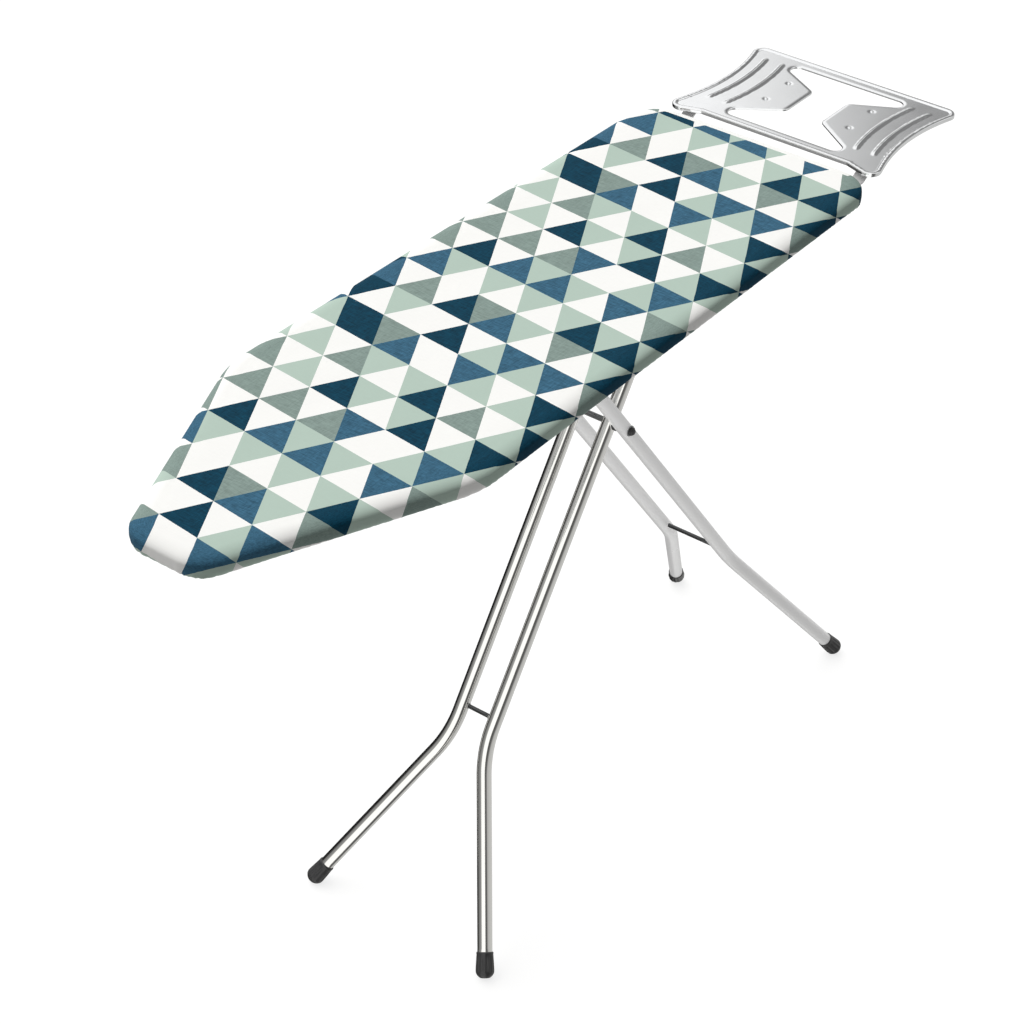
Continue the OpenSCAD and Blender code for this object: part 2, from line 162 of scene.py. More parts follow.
def hexgrid(x0, x1, y0, y1, pitch):
    points = []
    row = 0
    y = y0
    while y <= y1:
        x = x0 + (pitch / 2 if row % 2 else 0)
        while x <= x1:
            points.append((x, y))
            x += pitch
        y += pitch * 0.866
        row += 1
    return np.array(points)


def loop_distance(points, loop):
    """Shortest distance from each point to a closed polyline."""
    edge = np.roll(loop, -1, axis=0) - loop
    length2 = np.maximum((edge ** 2).sum(1), 1e-12)
    best = np.full(len(points), 1e9)
    block = 2000  # points handled at once, to bound the memory
    for s in range(0, len(points), block):
        q = points[s:s + block]
        t = np.clip(((q[:, None] - loop[None]) * edge[None]).sum(2) / length2[None], 0, 1)
        gap = np.linalg.norm(q[:, None] - (loop[None] + t[..., None] * edge[None]), axis=2)
        best[s:s + block] = gap.min(1)
    return best


def is_ccw(loop):
    following = np.roll(loop, -1, 0)
    return 0.5 * (loop[:, 0] * following[:, 1] - following[:, 0] * loop[:, 1]).sum() > 0


def loop_normals(loop):
    """Unit vectors pointing out of a closed loop, whichever way it runs."""
    t = np.roll(loop, -1, 0) - np.roll(loop, 1, 0)
    t /= np.linalg.norm(t, axis=1)[:, None]
    n = np.column_stack([t[:, 1], -t[:, 0]])
    return n if is_ccw(loop) else -n


def symmetric_loop(half, step):
    """Closes a half outline with its mirror image in Y and spaces the points evenly."""
    loop = np.array(half + [(x, -y) for x, y in reversed(half[1:-1])])
    too_close = 0.15
    kept = [loop[0]]
    for p in loop[1:]:
        if np.linalg.norm(p - kept[-1]) > too_close:
            kept.append(p)
    if np.linalg.norm(kept[0] - kept[-1]) < too_close:
        kept.pop()
    closed = np.array(kept + kept[:1])
    s = np.concatenate([[0], np.cumsum(np.linalg.norm(np.diff(closed, axis=0), axis=1))])
    t = np.linspace(0, s[-1], int(round(s[-1] / step)), endpoint=False)
    return np.column_stack([np.interp(t, s, closed[:, 0]), np.interp(t, s, closed[:, 1])])


# ------------------------------------------------------------------ mesh parts
# A part is (vertices, faces, sharp flags of the faces).
def tube_faces(rings, seg, loop=False):
    """Quads between successive rings of seg points; loop also joins the last to the first."""
    return [(k * seg + j, k * seg + (j + 1) % seg,
             (k + 1) % rings * seg + (j + 1) % seg, (k + 1) % rings * seg + j)
            for k in range(rings if loop else rings - 1) for j in range(seg)]


def end_caps(first, last, seg):
    """Flat ends on the rings that start at vertices first and last."""
    return [tuple(reversed(range(first, first + seg))), tuple(range(last, last + seg))]


def vertex_normals(v, faces):
    normals = np.zeros_like(v)
    for corners in (3, 4):
        f = np.array([face for face in faces if len(face) == corners], int)
        if not len(f):
            continue
        if corners == 3:
            c = np.cross(v[f[:, 1]] - v[f[:, 0]], v[f[:, 2]] - v[f[:, 0]])
        else:
            c = np.cross(v[f[:, 2]] - v[f[:, 0]], v[f[:, 3]] - v[f[:, 1]])
        for j in range(corners):
            np.add.at(normals, f[:, j], c)
    return normals / np.maximum(np.linalg.norm(normals, axis=1), 1e-9)[:, None]


def thicken(v, faces, thickness):
    """A sheet with its outer face at v becomes a closed shell."""
    count = len(v)
    inner = v - vertex_normals(v, faces) * thickness
    edges = dict.fromkeys((a, b) for f in faces for a, b in zip(f, list(f[1:]) + [f[0]]))
    rim = [(a, b) for a, b in edges if (b, a) not in edges]
    shell = [tuple(f) for f in faces] + [tuple(count + i for i in reversed(f)) for f in faces]
    sharp = [False] * len(shell) + [True] * len(rim)
    shell += [(b, a, a + count, b + count) for a, b in rim]
    return np.vstack([v, inner]), shell, sharp


def path_frames(path):
    """Tangent and two side vectors carried along a path without twist."""
    t = np.gradient(path, axis=0)
    t /= np.linalg.norm(t, axis=1)[:, None]
    u = np.cross(t[0], (0, 0, 1.0) if abs(t[0][2]) < 0.9 else (1.0, 0, 0))
    u /= np.linalg.norm(u)
    sides = []
    for k in range(len(path)):
        u = u - t[k] * np.dot(u, t[k])
        u /= np.linalg.norm(u)
        sides.append(u)
    sides = np.array(sides)
    return t, sides, np.cross(t, sides)


def sweep(path, radius, seg, bore=None):
    """Round bar along a path. bore=(radius, depth) opens the first end like a cut tube."""
    path = np.asarray(path, float)
    t, u, w = path_frames(path)
    angles = np.linspace(0, 2 * math.pi, seg, endpoint=False)

    def ring(k, r, shift=0.0):
        circle = np.cos(angles)[:, None] * u[k] + np.sin(angles)[:, None] * w[k]
        return path[k] + t[k] * shift + r * circle

    rings = [ring(k, radius) for k in range(len(path))]
    faces = tube_faces(len(path), seg)
    sharp = [False] * len(faces)
    first, last = 0, (len(path) - 1) * seg
    if bore:
        rings += [ring(0, bore[0]), ring(0, *bore)]
        lip = last + seg
        first = lip + seg
        # the flat lip of the tube, then the wall of the bore
        for near, far, flat_ring in ((0, lip, True), (lip, first, False)):
            for j in range(seg):
                j2 = (j + 1) % seg
                faces.append((near + j2, near + j, far + j, far + j2))
                sharp.append(flat_ring)
    return np.vstack(rings), faces + end_caps(first, last, seg), sharp + [True, True]


def lathe(origin, axis, profile, seg, wave=None):
    """Turned piece: profile is (along, radius) from one end to the other, both ends closed.
    wave(along, angles) scales the radius round the axis."""
    axis = unit(axis)
    ref = np.array((0, 0, 1) if abs(axis[2]) < 0.9 else (1, 0, 0), float)
    u = unit(ref - axis * np.dot(ref, axis))
    w = np.cross(axis, u)
    angles = np.linspace(0, 2 * math.pi, seg, endpoint=False)
    circle = np.cos(angles)[:, None] * u + np.sin(angles)[:, None] * w
    rings = []
    for along, radius in profile:
        radii = np.full(seg, float(radius)) if wave is None else radius * wave(along, angles)
        rings.append(np.asarray(origin, float) + axis * along + radii[:, None] * circle)
    faces = tube_faces(len(profile), seg)
    sharp = [False] * len(faces) + [True, True]
    return np.vstack(rings), faces + end_caps(0, (len(profile) - 1) * seg, seg), sharp


def join(parts):
    vertices, faces, sharp, offset = [], [], [], 0
    for v, f, s in parts:
        vertices.append(v)
        faces += [tuple(i + offset for i in face) for face in f]
        sharp += list(s)
        offset += len(v)
    return np.vstack(vertices), faces, sharp


def mirror_y(part):
    v, f, s = part
    return v * (1, -1, 1), [tuple(reversed(face)) for face in f], s


def add_piece(name, part, material, body, replaces=(), flat=None):
    """One piece of the visual model. A part without sharp flags is smooth all over.
    flat holds each vertex's place on the unrolled cloth."""
    vertices, faces, *flags = part
    mesh = bpy.data.meshes.new(name)
    mesh.from_pydata([tuple(map(float, v)) for v in np.asarray(vertices, float) * 0.001], [],
                     [tuple(int(i) for i in f) for f in faces])
    mesh.validate()
    if flat is not None:
        attribute = mesh.attributes.new("flat", "FLOAT_VECTOR", "POINT")
        attribute.data.foreach_set("vector", np.asarray(flat, np.float32).ravel())
    is_smooth = np.ones(len(mesh.polygons), bool)
    if flags:
        is_smooth[:len(flags[0])] = ~np.asarray(flags[0])
    mesh.polygons.foreach_set("use_smooth", is_smooth)
    mesh.materials.append(material)
    ob = bpy.data.objects.new(name, mesh)
    SCENE.collection.objects.link(ob)
    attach(ob, body)
    if replaces:
        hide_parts(*replaces)


# ------------------------------------------------------------------ shader building
def srgb(*channels):
    """Linear RGBA from 0-255 display values."""
    out = []
    for v in channels:
        v = v / 255.0
        out.append(v / 12.92 if v <= 0.04045 else ((v + 0.055) / 1.055) ** 2.4)
    return tuple(out) + (1.0,)


class Shader:
    """Node tree of a material or a world; each method adds a node and returns its output."""

    def __init__(self, owner, output="ShaderNodeOutputMaterial"):
        self.owner = owner
        owner.use_nodes = True
        self.tree = owner.node_tree
        self.tree.nodes.clear()
        self.out = self.node(output)

    def node(self, kind, **props):
        node = self.tree.nodes.new(kind)
        for key, value in props.items():
            setattr(node, key, value)
        return node

    def put(self, socket, value):
        if isinstance(value, bpy.types.NodeSocket):
            self.tree.links.new(value, socket)
        elif value is not None:
            socket.default_value = value

    def math(self, operation, *values):
        node = self.node("ShaderNodeMath", operation=operation)
        for socket, value in zip(node.inputs, values):
            self.put(socket, value)
        return node.outputs[0]

    def add(self, a, b):
        return self.math("ADD", a, b)

    def sub(self, a, b):
        return self.math("SUBTRACT", a, b)

    def mul(self, a, b):
        return self.math("MULTIPLY", a, b)

    def weighted(self, a, weight_a, b, weight_b):
        return self.add(self.mul(a, weight_a), self.mul(b, weight_b))

    def mix(self, factor, first, second, blend="MIX"):
        node = self.node("ShaderNodeMix", data_type="RGBA", blend_type=blend)
        for k, value in ((0, factor), (6, first), (7, second)):
            self.put(node.inputs[k], value)
        return node.outputs[2]

    def split(self, vector):
        node = self.node("ShaderNodeSeparateXYZ")
        self.put(node.inputs[0], vector)
        return node.outputs

    def combine(self, channels):
        node = self.node("ShaderNodeCombineColor")
        for socket, value in zip(node.inputs, channels):
            self.put(socket, value)
        return node.outputs[0]

    def scaled(self, vector, scale):
        node = self.node("ShaderNodeMapping")
        self.put(node.inputs["Vector"], vector)
        node.inputs["Scale"].default_value = scale
        return node.outputs[0]

    def place(self, scale=1000):
        """Object coordinates, in millimetres unless scaled otherwise."""
        return self.scaled(self.node("ShaderNodeTexCoord").outputs["Object"], (scale,) * 3)

    def noise(self, vector, scale=1.0, detail=3, rough=0.5, distortion=0.0, stretch=None):
        node = self.node("ShaderNodeTexNoise")
        self.put(node.inputs["Vector"], self.scaled(vector, stretch) if stretch else vector)
        node.inputs["Scale"].default_value = scale
        node.inputs["Detail"].default_value = detail
        node.inputs["Roughness"].default_value = rough
        node.inputs["Distortion"].default_value = distortion
        return node.outputs[0]

    def remap(self, value, span=(0.3, 0.7), to=(0.0, 1.0)):
        """Clamped linear map; the default span is the useful range of a noise."""
        node = self.node("ShaderNodeMapRange")
        for socket, v in zip(node.inputs, (value, *span, *to)):
            self.put(socket, v)
        return node.outputs[0]

    def ramp(self, factor, stops, interpolation="LINEAR"):
        """Colour ramp from (position, colour) stops."""
        node = self.node("ShaderNodeValToRGB")
        ramp = node.color_ramp
        ramp.interpolation = interpolation
        ramp.elements.remove(ramp.elements[-1])
        for k, (position, colour) in enumerate(stops):
            element = ramp.elements.new(position) if k else ramp.elements[0]
            element.position = position
            element.color = colour
        self.put(node.inputs[0], factor)
        return node.outputs[0]

    def bump(self, height, strength, distance, normal=None):
        node = self.node("ShaderNodeBump")
        node.inputs["Strength"].default_value = strength
        node.inputs["Distance"].default_value = distance
        self.put(node.inputs["Height"], height)
        self.put(node.inputs["Normal"], normal)
        return node.outputs[0]

    def bsdf(self, **inputs):
        """Principled surface on the output; returns the finished material."""
        node = self.node("ShaderNodeBsdfPrincipled")
        for key, value in inputs.items():
            self.put(node.inputs[key.replace("_", " ")], value)
        self.put(self.out.inputs[0], node.outputs[0])
        return self.owner


def new_shader(name):
    return Shader(bpy.data.materials.new(name))


# ------------------------------------------------------------------ cover print
# A lattice of triangles in five colours, on the unrolled cloth in millimetres.
PRINT_TONES = (
    srgb(252, 252, 250),  # 0 white
    srgb(186, 205, 194),  # 1 mint
    srgb(138, 156, 150),  # 2 sage
    srgb(6, 62, 84),      # 3 navy
    srgb(60, 104, 130),   # 4 denim
)
WHITE, MINT = PRINT_TONES[0], 1
ROWS, COLUMNS = 8, 16            # triangles in one repeat
# share of each tone, for triangles on even (row + column) and then on odd
TONE_SHARES = ((0.30, 0.25, 0.16, 0.19, 0.10), (0.42, 0.22, 0.10, 0.13, 0.13))
# cost of two tones meeting along an edge
TONE_CLASH = np.array([
    [0.75, 0.05, 0, 0, 0],
    [0.05, 1.1, 0.35, 0, 0],
    [0, 0.35, 1.2, 0.1, 0.25],
    [0, 0, 0.1, 0.8, 0.1],
    [0, 0, 0.25, 0.1, 0.8]])
LAYOUT_SEED = 11
SWAPS = 14000
START_HEAT, END_HEAT, COOLING = 0.8, 0.22, 0.9996
PRINT_ORIGIN = (-439.0, 44.2)
LATTICE_U = (66.605, 0.911)      # lattice directions on the cloth
LATTICE_V = (6.534, 62.715)
REAR_BAND, REAR_BAND_HALF = 17.0, 150.0   # plain band along the straight rear edge
THREAD_PITCH = 1.1


def arrange_tones():
    """Spreads the tones over the repeat by annealed swaps, keeping shares and parting like tones."""
    draw = np.random.RandomState(LAYOUT_SEED)
    even, odd = ([(r, c) for r in range(ROWS) for c in range(COLUMNS) if (r + c) % 2 == side]
                 for side in (0, 1))
    grid = np.zeros((ROWS, COLUMNS), int)
    for cells, shares in zip((even, odd), TONE_SHARES):
        deck = []
        for tone, share in enumerate(shares):
            deck += [tone] * int(round(share * len(cells)))
        deck += [MINT] * (len(cells) - len(deck))
        draw.shuffle(deck)
        for cell, tone in zip(cells, deck):
            grid[cell] = tone

    def cost(r, c):
        third = (r - 1) % ROWS if (r + c) % 2 == 0 else (r + 1) % ROWS
        near = ((r, (c + 1) % COLUMNS), (r, (c - 1) % COLUMNS), (third, c))
        return sum(TONE_CLASH[grid[r, c], grid[cell]] for cell in near)

    heat = START_HEAT
    for _ in range(SWAPS):
        cells = even if draw.rand() < 0.5 else odd
        a, b = cells[draw.randint(len(cells))], cells[draw.randint(len(cells))]
        before = cost(*a) + cost(*b)
        grid[a], grid[b] = grid[b], grid[a]
        after = cost(*a) + cost(*b)
        if after > before and draw.rand() > math.exp((before - after) / heat):
            grid[a], grid[b] = grid[b], grid[a]
        heat = max(END_HEAT, heat * COOLING)
    return grid


def print_colour(m, x, y):
    """Tone of the triangle that holds x, y."""
    dx, dy = m.add(x, -PRINT_ORIGIN[0]), m.add(y, -PRINT_ORIGIN[1])
    det = LATTICE_U[0] * LATTICE_V[1] - LATTICE_V[0] * LATTICE_U[1]
    u = m.weighted(dx, LATTICE_V[1] / det, dy, -LATTICE_V[0] / det)
    v = m.weighted(dy, LATTICE_U[0] / det, dx, -LATTICE_U[1] / det)
    slant = m.mul(u, 1 / math.sqrt(3))
    i = m.sub(slant, v)
    j = m.sub(m.mul(v, -1.0), slant)
    cell_i, cell_j = m.math("FLOOR", i), m.math("FLOOR", j)
    upper = m.math("GREATER_THAN", m.sub(i, cell_i), m.sub(j, cell_j))
    row = m.sub(m.sub(cell_i, cell_j), m.sub(1.0, upper))
    row = m.math("FLOORED_MODULO", row, float(ROWS))
    column_shift = 0.0
    column = m.add(m.add(cell_i, cell_j), column_shift)
    column = m.math("FLOORED_MODULO", column, float(COLUMNS))
    factor = m.math("DIVIDE", m.add(column, 0.5), float(COLUMNS))
    colour = (1, 1, 1, 1)
    for r, tones in enumerate(arrange_tones()):
        is_row = m.math("COMPARE", row, float(r), 0.25)
        stops = [(c / COLUMNS, PRINT_TONES[tone]) for c, tone in enumerate(tones)]
        colour = m.mix(is_row, colour, m.ramp(factor, stops, interpolation="CONSTANT"))
    return colour


def cover_material():
    m = new_shader("cover_print")
    cloth = m.node("ShaderNodeAttribute", attribute_name="flat").outputs["Vector"]
    x, y, _ = m.split(cloth)
    colour = print_colour(m, x, y)
    band = m.mul(m.math("GREATER_THAN", x, X_REAR - REAR_BAND),
                 m.math("LESS_THAN", m.math("ABSOLUTE", y), REAR_BAND_HALF))
    colour = m.mix(band, colour, WHITE)
    # heathered yarn, strong in the darker inks and faint in the light ones
    warp = m.noise(cloth, stretch=(0.42, 0.06, 1), detail=4, rough=0.75)
    weft = m.noise(cloth, stretch=(0.06, 0.42, 1), detail=4, rough=0.75)
    slub = m.weighted(warp, 0.6, weft, 0.4)
    slub = m.remap(slub, span=(0.38, 0.62), to=(-1.0, 1.0))
    brightness = m.node("ShaderNodeRGBToBW")
    m.put(brightness.inputs[0], colour)
    dark = m.remap(brightness.outputs[0], span=(0.08, 0.5), to=(1.0, 0.0))
    heather_dark, heather_light = 0.40, 0.015
    amount = m.mul(slub, m.add(m.mul(dark, heather_dark), heather_light))
    yarn = m.node("ShaderNodeVectorMath", operation="SCALE")
    m.put(yarn.inputs[0], colour)
    m.put(yarn.inputs["Scale"], m.add(1.0, amount))
    yarn = yarn.outputs[0]
    # thread grain and the plain weave, over and under
    grain = m.noise(cloth, scale=0.9, detail=4, rough=0.7)
    colour = m.mix(m.remap(grain, to=(0.0, 0.09)), yarn, yarn, "MULTIPLY")
    threads = [m.math("SINE", m.mul(v, 2 * math.pi / THREAD_PITCH)) for v in (x, y)]
    height = m.weighted(m.mul(*threads), 0.35, grain, 0.8)
    fine = m.bump(height, strength=0.16, distance=0.00012)
    billow = m.noise(cloth, stretch=(0.012, 0.016, 1), detail=3, rough=0.5)
    normal = m.bump(billow, strength=0.10, distance=0.0012, normal=fine)
    return m.bsdf(Base_Color=colour, Roughness=m.remap(grain, to=(0.78, 0.92)), Normal=normal,
                  Sheen_Weight=0.015, Sheen_Roughness=0.5, Specular_IOR_Level=0.10)


# ------------------------------------------------------------------ other materials
def felt_material():
    m = new_shader("felt")
    place = m.place()
    fibre = m.noise(place, scale=0.9, detail=6, rough=0.75, distortion=0.6)
    cloud = m.noise(place, scale=0.03, detail=2)
    return m.bsdf(Base_Color=m.mix(m.remap(fibre), srgb(226, 224, 218), srgb(246, 245, 241)),
                  Roughness=0.95, Normal=m.bump(fibre, strength=0.5, distance=0.0004),
                  Sheen_Weight=0.3, Specular_IOR_Level=m.remap(cloud, to=(0.05, 0.12)))


def cord_material():
    m = new_shader("cord")
    place = m.place()
    twist = m.noise(place, stretch=(1.5,) * 3, rough=0.6)
    braid_density = 18.0
    fuzz = m.noise(place, scale=1.2, detail=1)
    braid = m.math("SINE", m.mul(m.add(fuzz, twist), braid_density))
    colour = m.mix(m.remap(braid, span=(-1, 1)), srgb(222, 220, 214), srgb(250, 249, 246))
    return m.bsdf(Base_Color=colour, Roughness=m.remap(twist, to=(0.75, 0.9)),
                  Normal=m.bump(braid, strength=0.4, distance=0.0002), Sheen_Weight=0.2)


def metal(name, base, rough, stretch, rough_var=0.08, bump=0.05, metallic=1.0, tint=0.06,
          **extra):
    """Metal or paint with streaks along stretch; tint is how far clouds darken the base."""
    m = new_shader(name)
    place = m.place()
    streak = m.noise(place, stretch=stretch, detail=4, rough=0.6)
    cloud = m.noise(place, scale=0.02)
    speck = m.noise(place, scale=2.2, detail=2, rough=0.6)
    darker = tuple(c * (1 - tint) for c in base[:3]) + (1,)
    roughness = m.add(m.remap(streak, to=(rough - rough_var, rough + rough_var)),
                      m.remap(cloud, to=(-0.03, 0.03)))
    normal = m.bump(m.weighted(streak, 0.7, speck, 0.3), strength=bump, distance=0.00005)
    return m.bsdf(Base_Color=m.mix(m.remap(cloud), base, darker), Metallic=metallic,
                  Roughness=roughness, Normal=normal, **extra)


def dark_plastic_material():
    m = new_shader("dark_plastic")
    base, rough = srgb(62, 62, 63), 0.34
    place = m.place()
    grain = m.noise(place, scale=1.6, rough=0.6)
    cloud = m.noise(place, scale=0.05, detail=2)
    lighter = tuple(min(1, c * 1.25 + 0.002) for c in base[:3]) + (1,)
    colour = m.mix(m.remap(cloud, span=(0.35, 0.65)), base, lighter)
    return m.bsdf(Base_Color=colour, Roughness=m.remap(grain, to=(rough - 0.06, rough + 0.08)),
                  Normal=m.bump(grain, strength=0.08, distance=0.00006))


COVER = cover_material()
FELT = felt_material()
CORD = cord_material()
SHEET = metal("board_steel", srgb(226, 228, 228), rough=0.42, stretch=(0.05, 1.2, 1),
              rough_var=0.06, bump=0.08, metallic=0.25)
ZINC = metal("zinc", srgb(205, 207, 209), rough=0.32, stretch=(0.4,) * 3,
             rough_var=0.06, bump=0.03)
REST = metal("rest_steel", srgb(246, 247, 248), rough=0.16, stretch=(0.04, 1.4, 1),
             rough_var=0.02, bump=0.005, tint=0.01)
FRONT = metal("front_tube", srgb(242, 241, 238), rough=0.10, stretch=(0.2,) * 3,
              rough_var=0.02, bump=0.006, tint=0.02)
# The white rear paint also glows faintly through its emission. This is painted light: it makes the
# rear tubes, the T-bar and the rear weld beads look brighter than the lamps light them.
REAR = metal("rear_tube", srgb(246, 246, 246), rough=0.32, stretch=(0.2,) * 3,
             rough_var=0.04, bump=0.01, metallic=0.0, tint=0.015,
             Coat_Weight=0.30, Coat_Roughness=0.12,
             Emission_Color=(1, 1, 1, 1), Emission_Strength=0.20)
STRAP = metal("strap_steel", srgb(240, 240, 240), rough=0.45, stretch=(0.3,) * 3,
              rough_var=0.05, bump=0.03, metallic=0.25, tint=0.03)
WELD = metal("weld", srgb(176, 176, 174), rough=0.38, stretch=(1.4,) * 3,
             rough_var=0.1, bump=0.5)
DARK = dark_plastic_material()
SPRING = metal("spring_steel", srgb(170, 172, 176), rough=0.25, stretch=(0.8,) * 3)
HARD = metal("hard_steel", srgb(140, 141, 142), rough=0.16, stretch=(0.8,) * 3,
             rough_var=0.04, bump=0.02)
ROD = metal("rod_steel", srgb(88, 89, 90), rough=0.18, stretch=(0.8,) * 3,
            rough_var=0.04, bump=0.02)

# ------------------------------------------------------------------ CAD pieces
# Pieces that aren't listed are zinc plated.
PIECES_BY_MATERIAL = (
    (COVER, "cotton_cover"),
    (FELT, "felt_pad"),
    (CORD, "hem_cord"),
    (SHEET, "top_sheet edge_band cross_ribs"),
    (STRAP, "rest_straps"),
    (REST, "rest_plate rest_rivets"),
    (FRONT, "front_leg_left front_leg_right"),
    (REAR, "rear_leg_left rear_leg_right t_bar"),
    (DARK, "cord_toggle hinge_pin_caps lever_grip front_foot_caps rear_foot_caps pivot_caps "
           "pivot_spacers glide_shoes lock_yoke"),
    (SPRING, "lock_spring"),
    (HARD, "lock_plate pivot_rod"),
    (ROD, "front_cross_rod rear_cross_rod"),
)
PIECE_MATERIAL = {name: mat for mat, names in PIECES_BY_MATERIAL for name in names.split()}


def finish_cad_piece(name, ob):
    """Gives a CAD piece its material and, on hard pieces, small rounded edges."""
    mesh = ob.data
    mesh.materials.clear()
    mesh.materials.append(PIECE_MATERIAL.get(name, ZINC))
    if name in ("cotton_cover", "felt_pad", "top_sheet"):
        return
    ob.modifiers.new("weld", "WELD").merge_threshold = 0.00001
    if name != "lock_spring":
        bevel = ob.modifiers.new("edges", "BEVEL")
        bevel.width = 0.0004
        bevel.segments = 2
        bevel.limit_method = "ANGLE"
        bevel.angle_limit = math.radians(40)
        bevel.harden_normals = False
        bevel.use_clamp_overlap = True
    mesh.polygons.foreach_set("use_smooth", np.ones(len(mesh.polygons), bool))
    mesh.set_sharp_from_angle(angle=math.radians(38))


for piece_name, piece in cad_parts.items():
    finish_cad_piece(piece_name, piece)

# ------------------------------------------------------------------ board outline
# Circles (x, y, radius) that round the +Y half of the outline; straight lines join them.
NOSE_CIRCLE = (X_NOSE + 45, 25.0, 45.0)
SHOULDER_CIRCLE = (X_REAR - 825, HALF_WIDTH - 150, 150.0)
REAR_TAPER = 7  # the rear corners lie this much inside the widest place
REAR_CIRCLE = (X_REAR - 53, HALF_WIDTH - REAR_TAPER - 53, 53.0)
EDGE_STEP = 3.0


def tangent_angle(a, b):
    """Angle at which the outer tangent leaves circle a for circle b."""
    dx, dy = b[0] - a[0], b[1] - a[1]
    return math.atan2(dy, dx) + math.acos((a[2] - b[2]) / math.hypot(dx, dy))


def board_outline():
    """Points, outward normals and curvature round the cover, clockwise from the nose."""
    turn1 = tangent_angle(NOSE_CIRCLE, SHOULDER_CIRCLE)
    turn2 = tangent_angle(SHOULDER_CIRCLE, REAR_CIRCLE)
    arcs = [(NOSE_CIRCLE, math.pi, turn1), (SHOULDER_CIRCLE, turn1, turn2),
            (REAR_CIRCLE, turn2, 0.0)]
    arcs += [((x, -y, r), -end, -start) for (x, y, r), start, end in reversed(arcs)]

    def on_circle(circle, a):
        x, y, r = circle
        return np.array((x + r * math.cos(a), y + r * math.sin(a)))

    points, normals, curvature = [], [], []
    for k, (circle, start, end) in enumerate(arcs):
        n = max(4, int(round(abs(end - start) * circle[2] / EDGE_STEP)))
        for q in range(n):
            a = start + (end - start) * q / n
            points.append(on_circle(circle, a))
            normals.append((math.cos(a), math.sin(a)))
            curvature.append(1.0 / circle[2])
        next_circle, next_start, _ = arcs[(k + 1) % len(arcs)]
        p0, p1 = on_circle(circle, end), on_circle(next_circle, next_start)
        n = max(1, int(round(np.linalg.norm(p1 - p0) / EDGE_STEP)))
        for q in range(n):
            points.append(p0 + (p1 - p0) * q / n)
            normals.append((math.cos(end), math.sin(end)))
            curvature.append(0.0)
    return np.array(points), np.array(normals), np.array(curvature)


EDGE, OUTWARD, CURVATURE = board_outline()
EDGE_COUNT = len(EDGE)
EDGE_LENGTH = np.concatenate([[0], np.cumsum(np.linalg.norm(np.diff(EDGE, axis=0), axis=1))])
PERIMETER = EDGE_LENGTH[-1] + np.linalg.norm(EDGE[0] - EDGE[-1])


def spread(values, width):
    """Smooths a quantity round the closed outline."""
    k = int(width / EDGE_STEP)
    kernel = np.exp(-0.5 * (np.arange(-3 * k, 3 * k + 1) / k) ** 2)
    kernel /= kernel.sum()
    return np.convolve(np.concatenate([values[-3 * k:], values, values[:3 * k]]), kernel, "valid")


TIGHT_BEND = spread((CURVATURE > 0.01).astype(float), 14)
ANY_BEND = spread((CURVATURE > 0.001).astype(float), 30)

# ------------------------------------------------------------------ cotton cover
COVER_MARGIN = 30.0              # the edge profile starts this far inside the outline
ROLL_WIDTH, ROLL_DROP = 22.0, 9.0
TURN_WIDTH, TURN_DROP, TURN_START = 5.0, 10.0, 8.0   # turn under the hem; start above hem
BEAD_INSET, BEAD_Z = 10.4, Z_HEM - 0.6               # middle of the casing round the cord
CLOTH_THICKNESS = 0.45


def cover_profile():
    """(inset from the outline, z) from the top, over the edge, under the hem, round the cord."""
    z_side = Z_TOP - ROLL_DROP
    z_turn = Z_HEM + TURN_START
    profile = [(COVER_MARGIN, Z_TOP), (26.0, Z_TOP)]
    for k in range(13):
        t = math.pi / 2 * k / 12
        profile.append((ROLL_WIDTH * (1 - math.sin(t)), Z_TOP - ROLL_DROP * (1 - math.cos(t))))
    profile += [(0.0, z) for z in (z_side - 2.2, z_side - 4.4, z_turn)]
    for k in range(1, 8):
        t = math.pi / 2 * k / 7
        profile.append((TURN_WIDTH * (1 - math.cos(t)), z_turn - TURN_DROP * math.sin(t)))
    profile += [(6.2, Z_HEM - 1.95), (7.3, Z_HEM - 1.8)]
    for k in range(13):
        a = math.radians(205 + 295 * k / 12)
        r = 2.8 - 0.35 * k / 12
        profile.append((BEAD_INSET + r * math.cos(a), BEAD_Z + r * math.sin(a)))
    return np.array(profile)


PROFILE = cover_profile()
PROFILE_LENGTH = np.concatenate(
    [[0], np.cumsum(np.linalg.norm(np.diff(PROFILE, axis=0), axis=1))])
# rings of the profile, counted from the margin
LAST_TOP_RING, ROLL_MIDDLE_RING, TURN_RING = 3, 8, 18
LAST_RELAXED_RING, FLAP_RING, CASING_RING = 22, 25, 26


def unroll_edge():
    """Place on the print of every ring after the first."""
    camera = np.array(CAM_PLACE) * 1000
    facing = OUTWARD @ np.array(TO_CAMERA)[:2]
    # 0 along the rear end, which faces away from the camera, 1 elsewhere
    askew = smooth(-0.78, -0.62, facing)[:, None]
    least_advance = np.where(facing < 0, 0.7, 0.5)
    first = EDGE - OUTWARD * COVER_MARGIN
    last, turned, flat = first, np.zeros(EDGE_COUNT, bool), []
    for k in range(1, len(PROFILE)):
        inset, z = PROFILE[k]
        point = EDGE - OUTWARD * inset
        # the cloth is drawn askew, so that the print runs on in straight lines as the camera
        # sees it; once it has turned out of sight it goes on square to the edge
        grow = PROFILE_LENGTH[k] - PROFILE_LENGTH[k - 1]
        onto = camera[:2] + (point - camera[:2]) * ((Z_TOP - camera[2]) / (z - camera[2]))
        square = last + OUTWARD * grow
        skew = onto * askew + (first + OUTWARD * PROFILE_LENGTH[k]) * (1 - askew)
        turned |= ((skew - last) * OUTWARD).sum(1) < least_advance * grow
        last = np.where(turned[:, None], square, skew)
        flat.append(np.column_stack([last, np.full(EDGE_COUNT, PROFILE_LENGTH[k])]))
    return flat


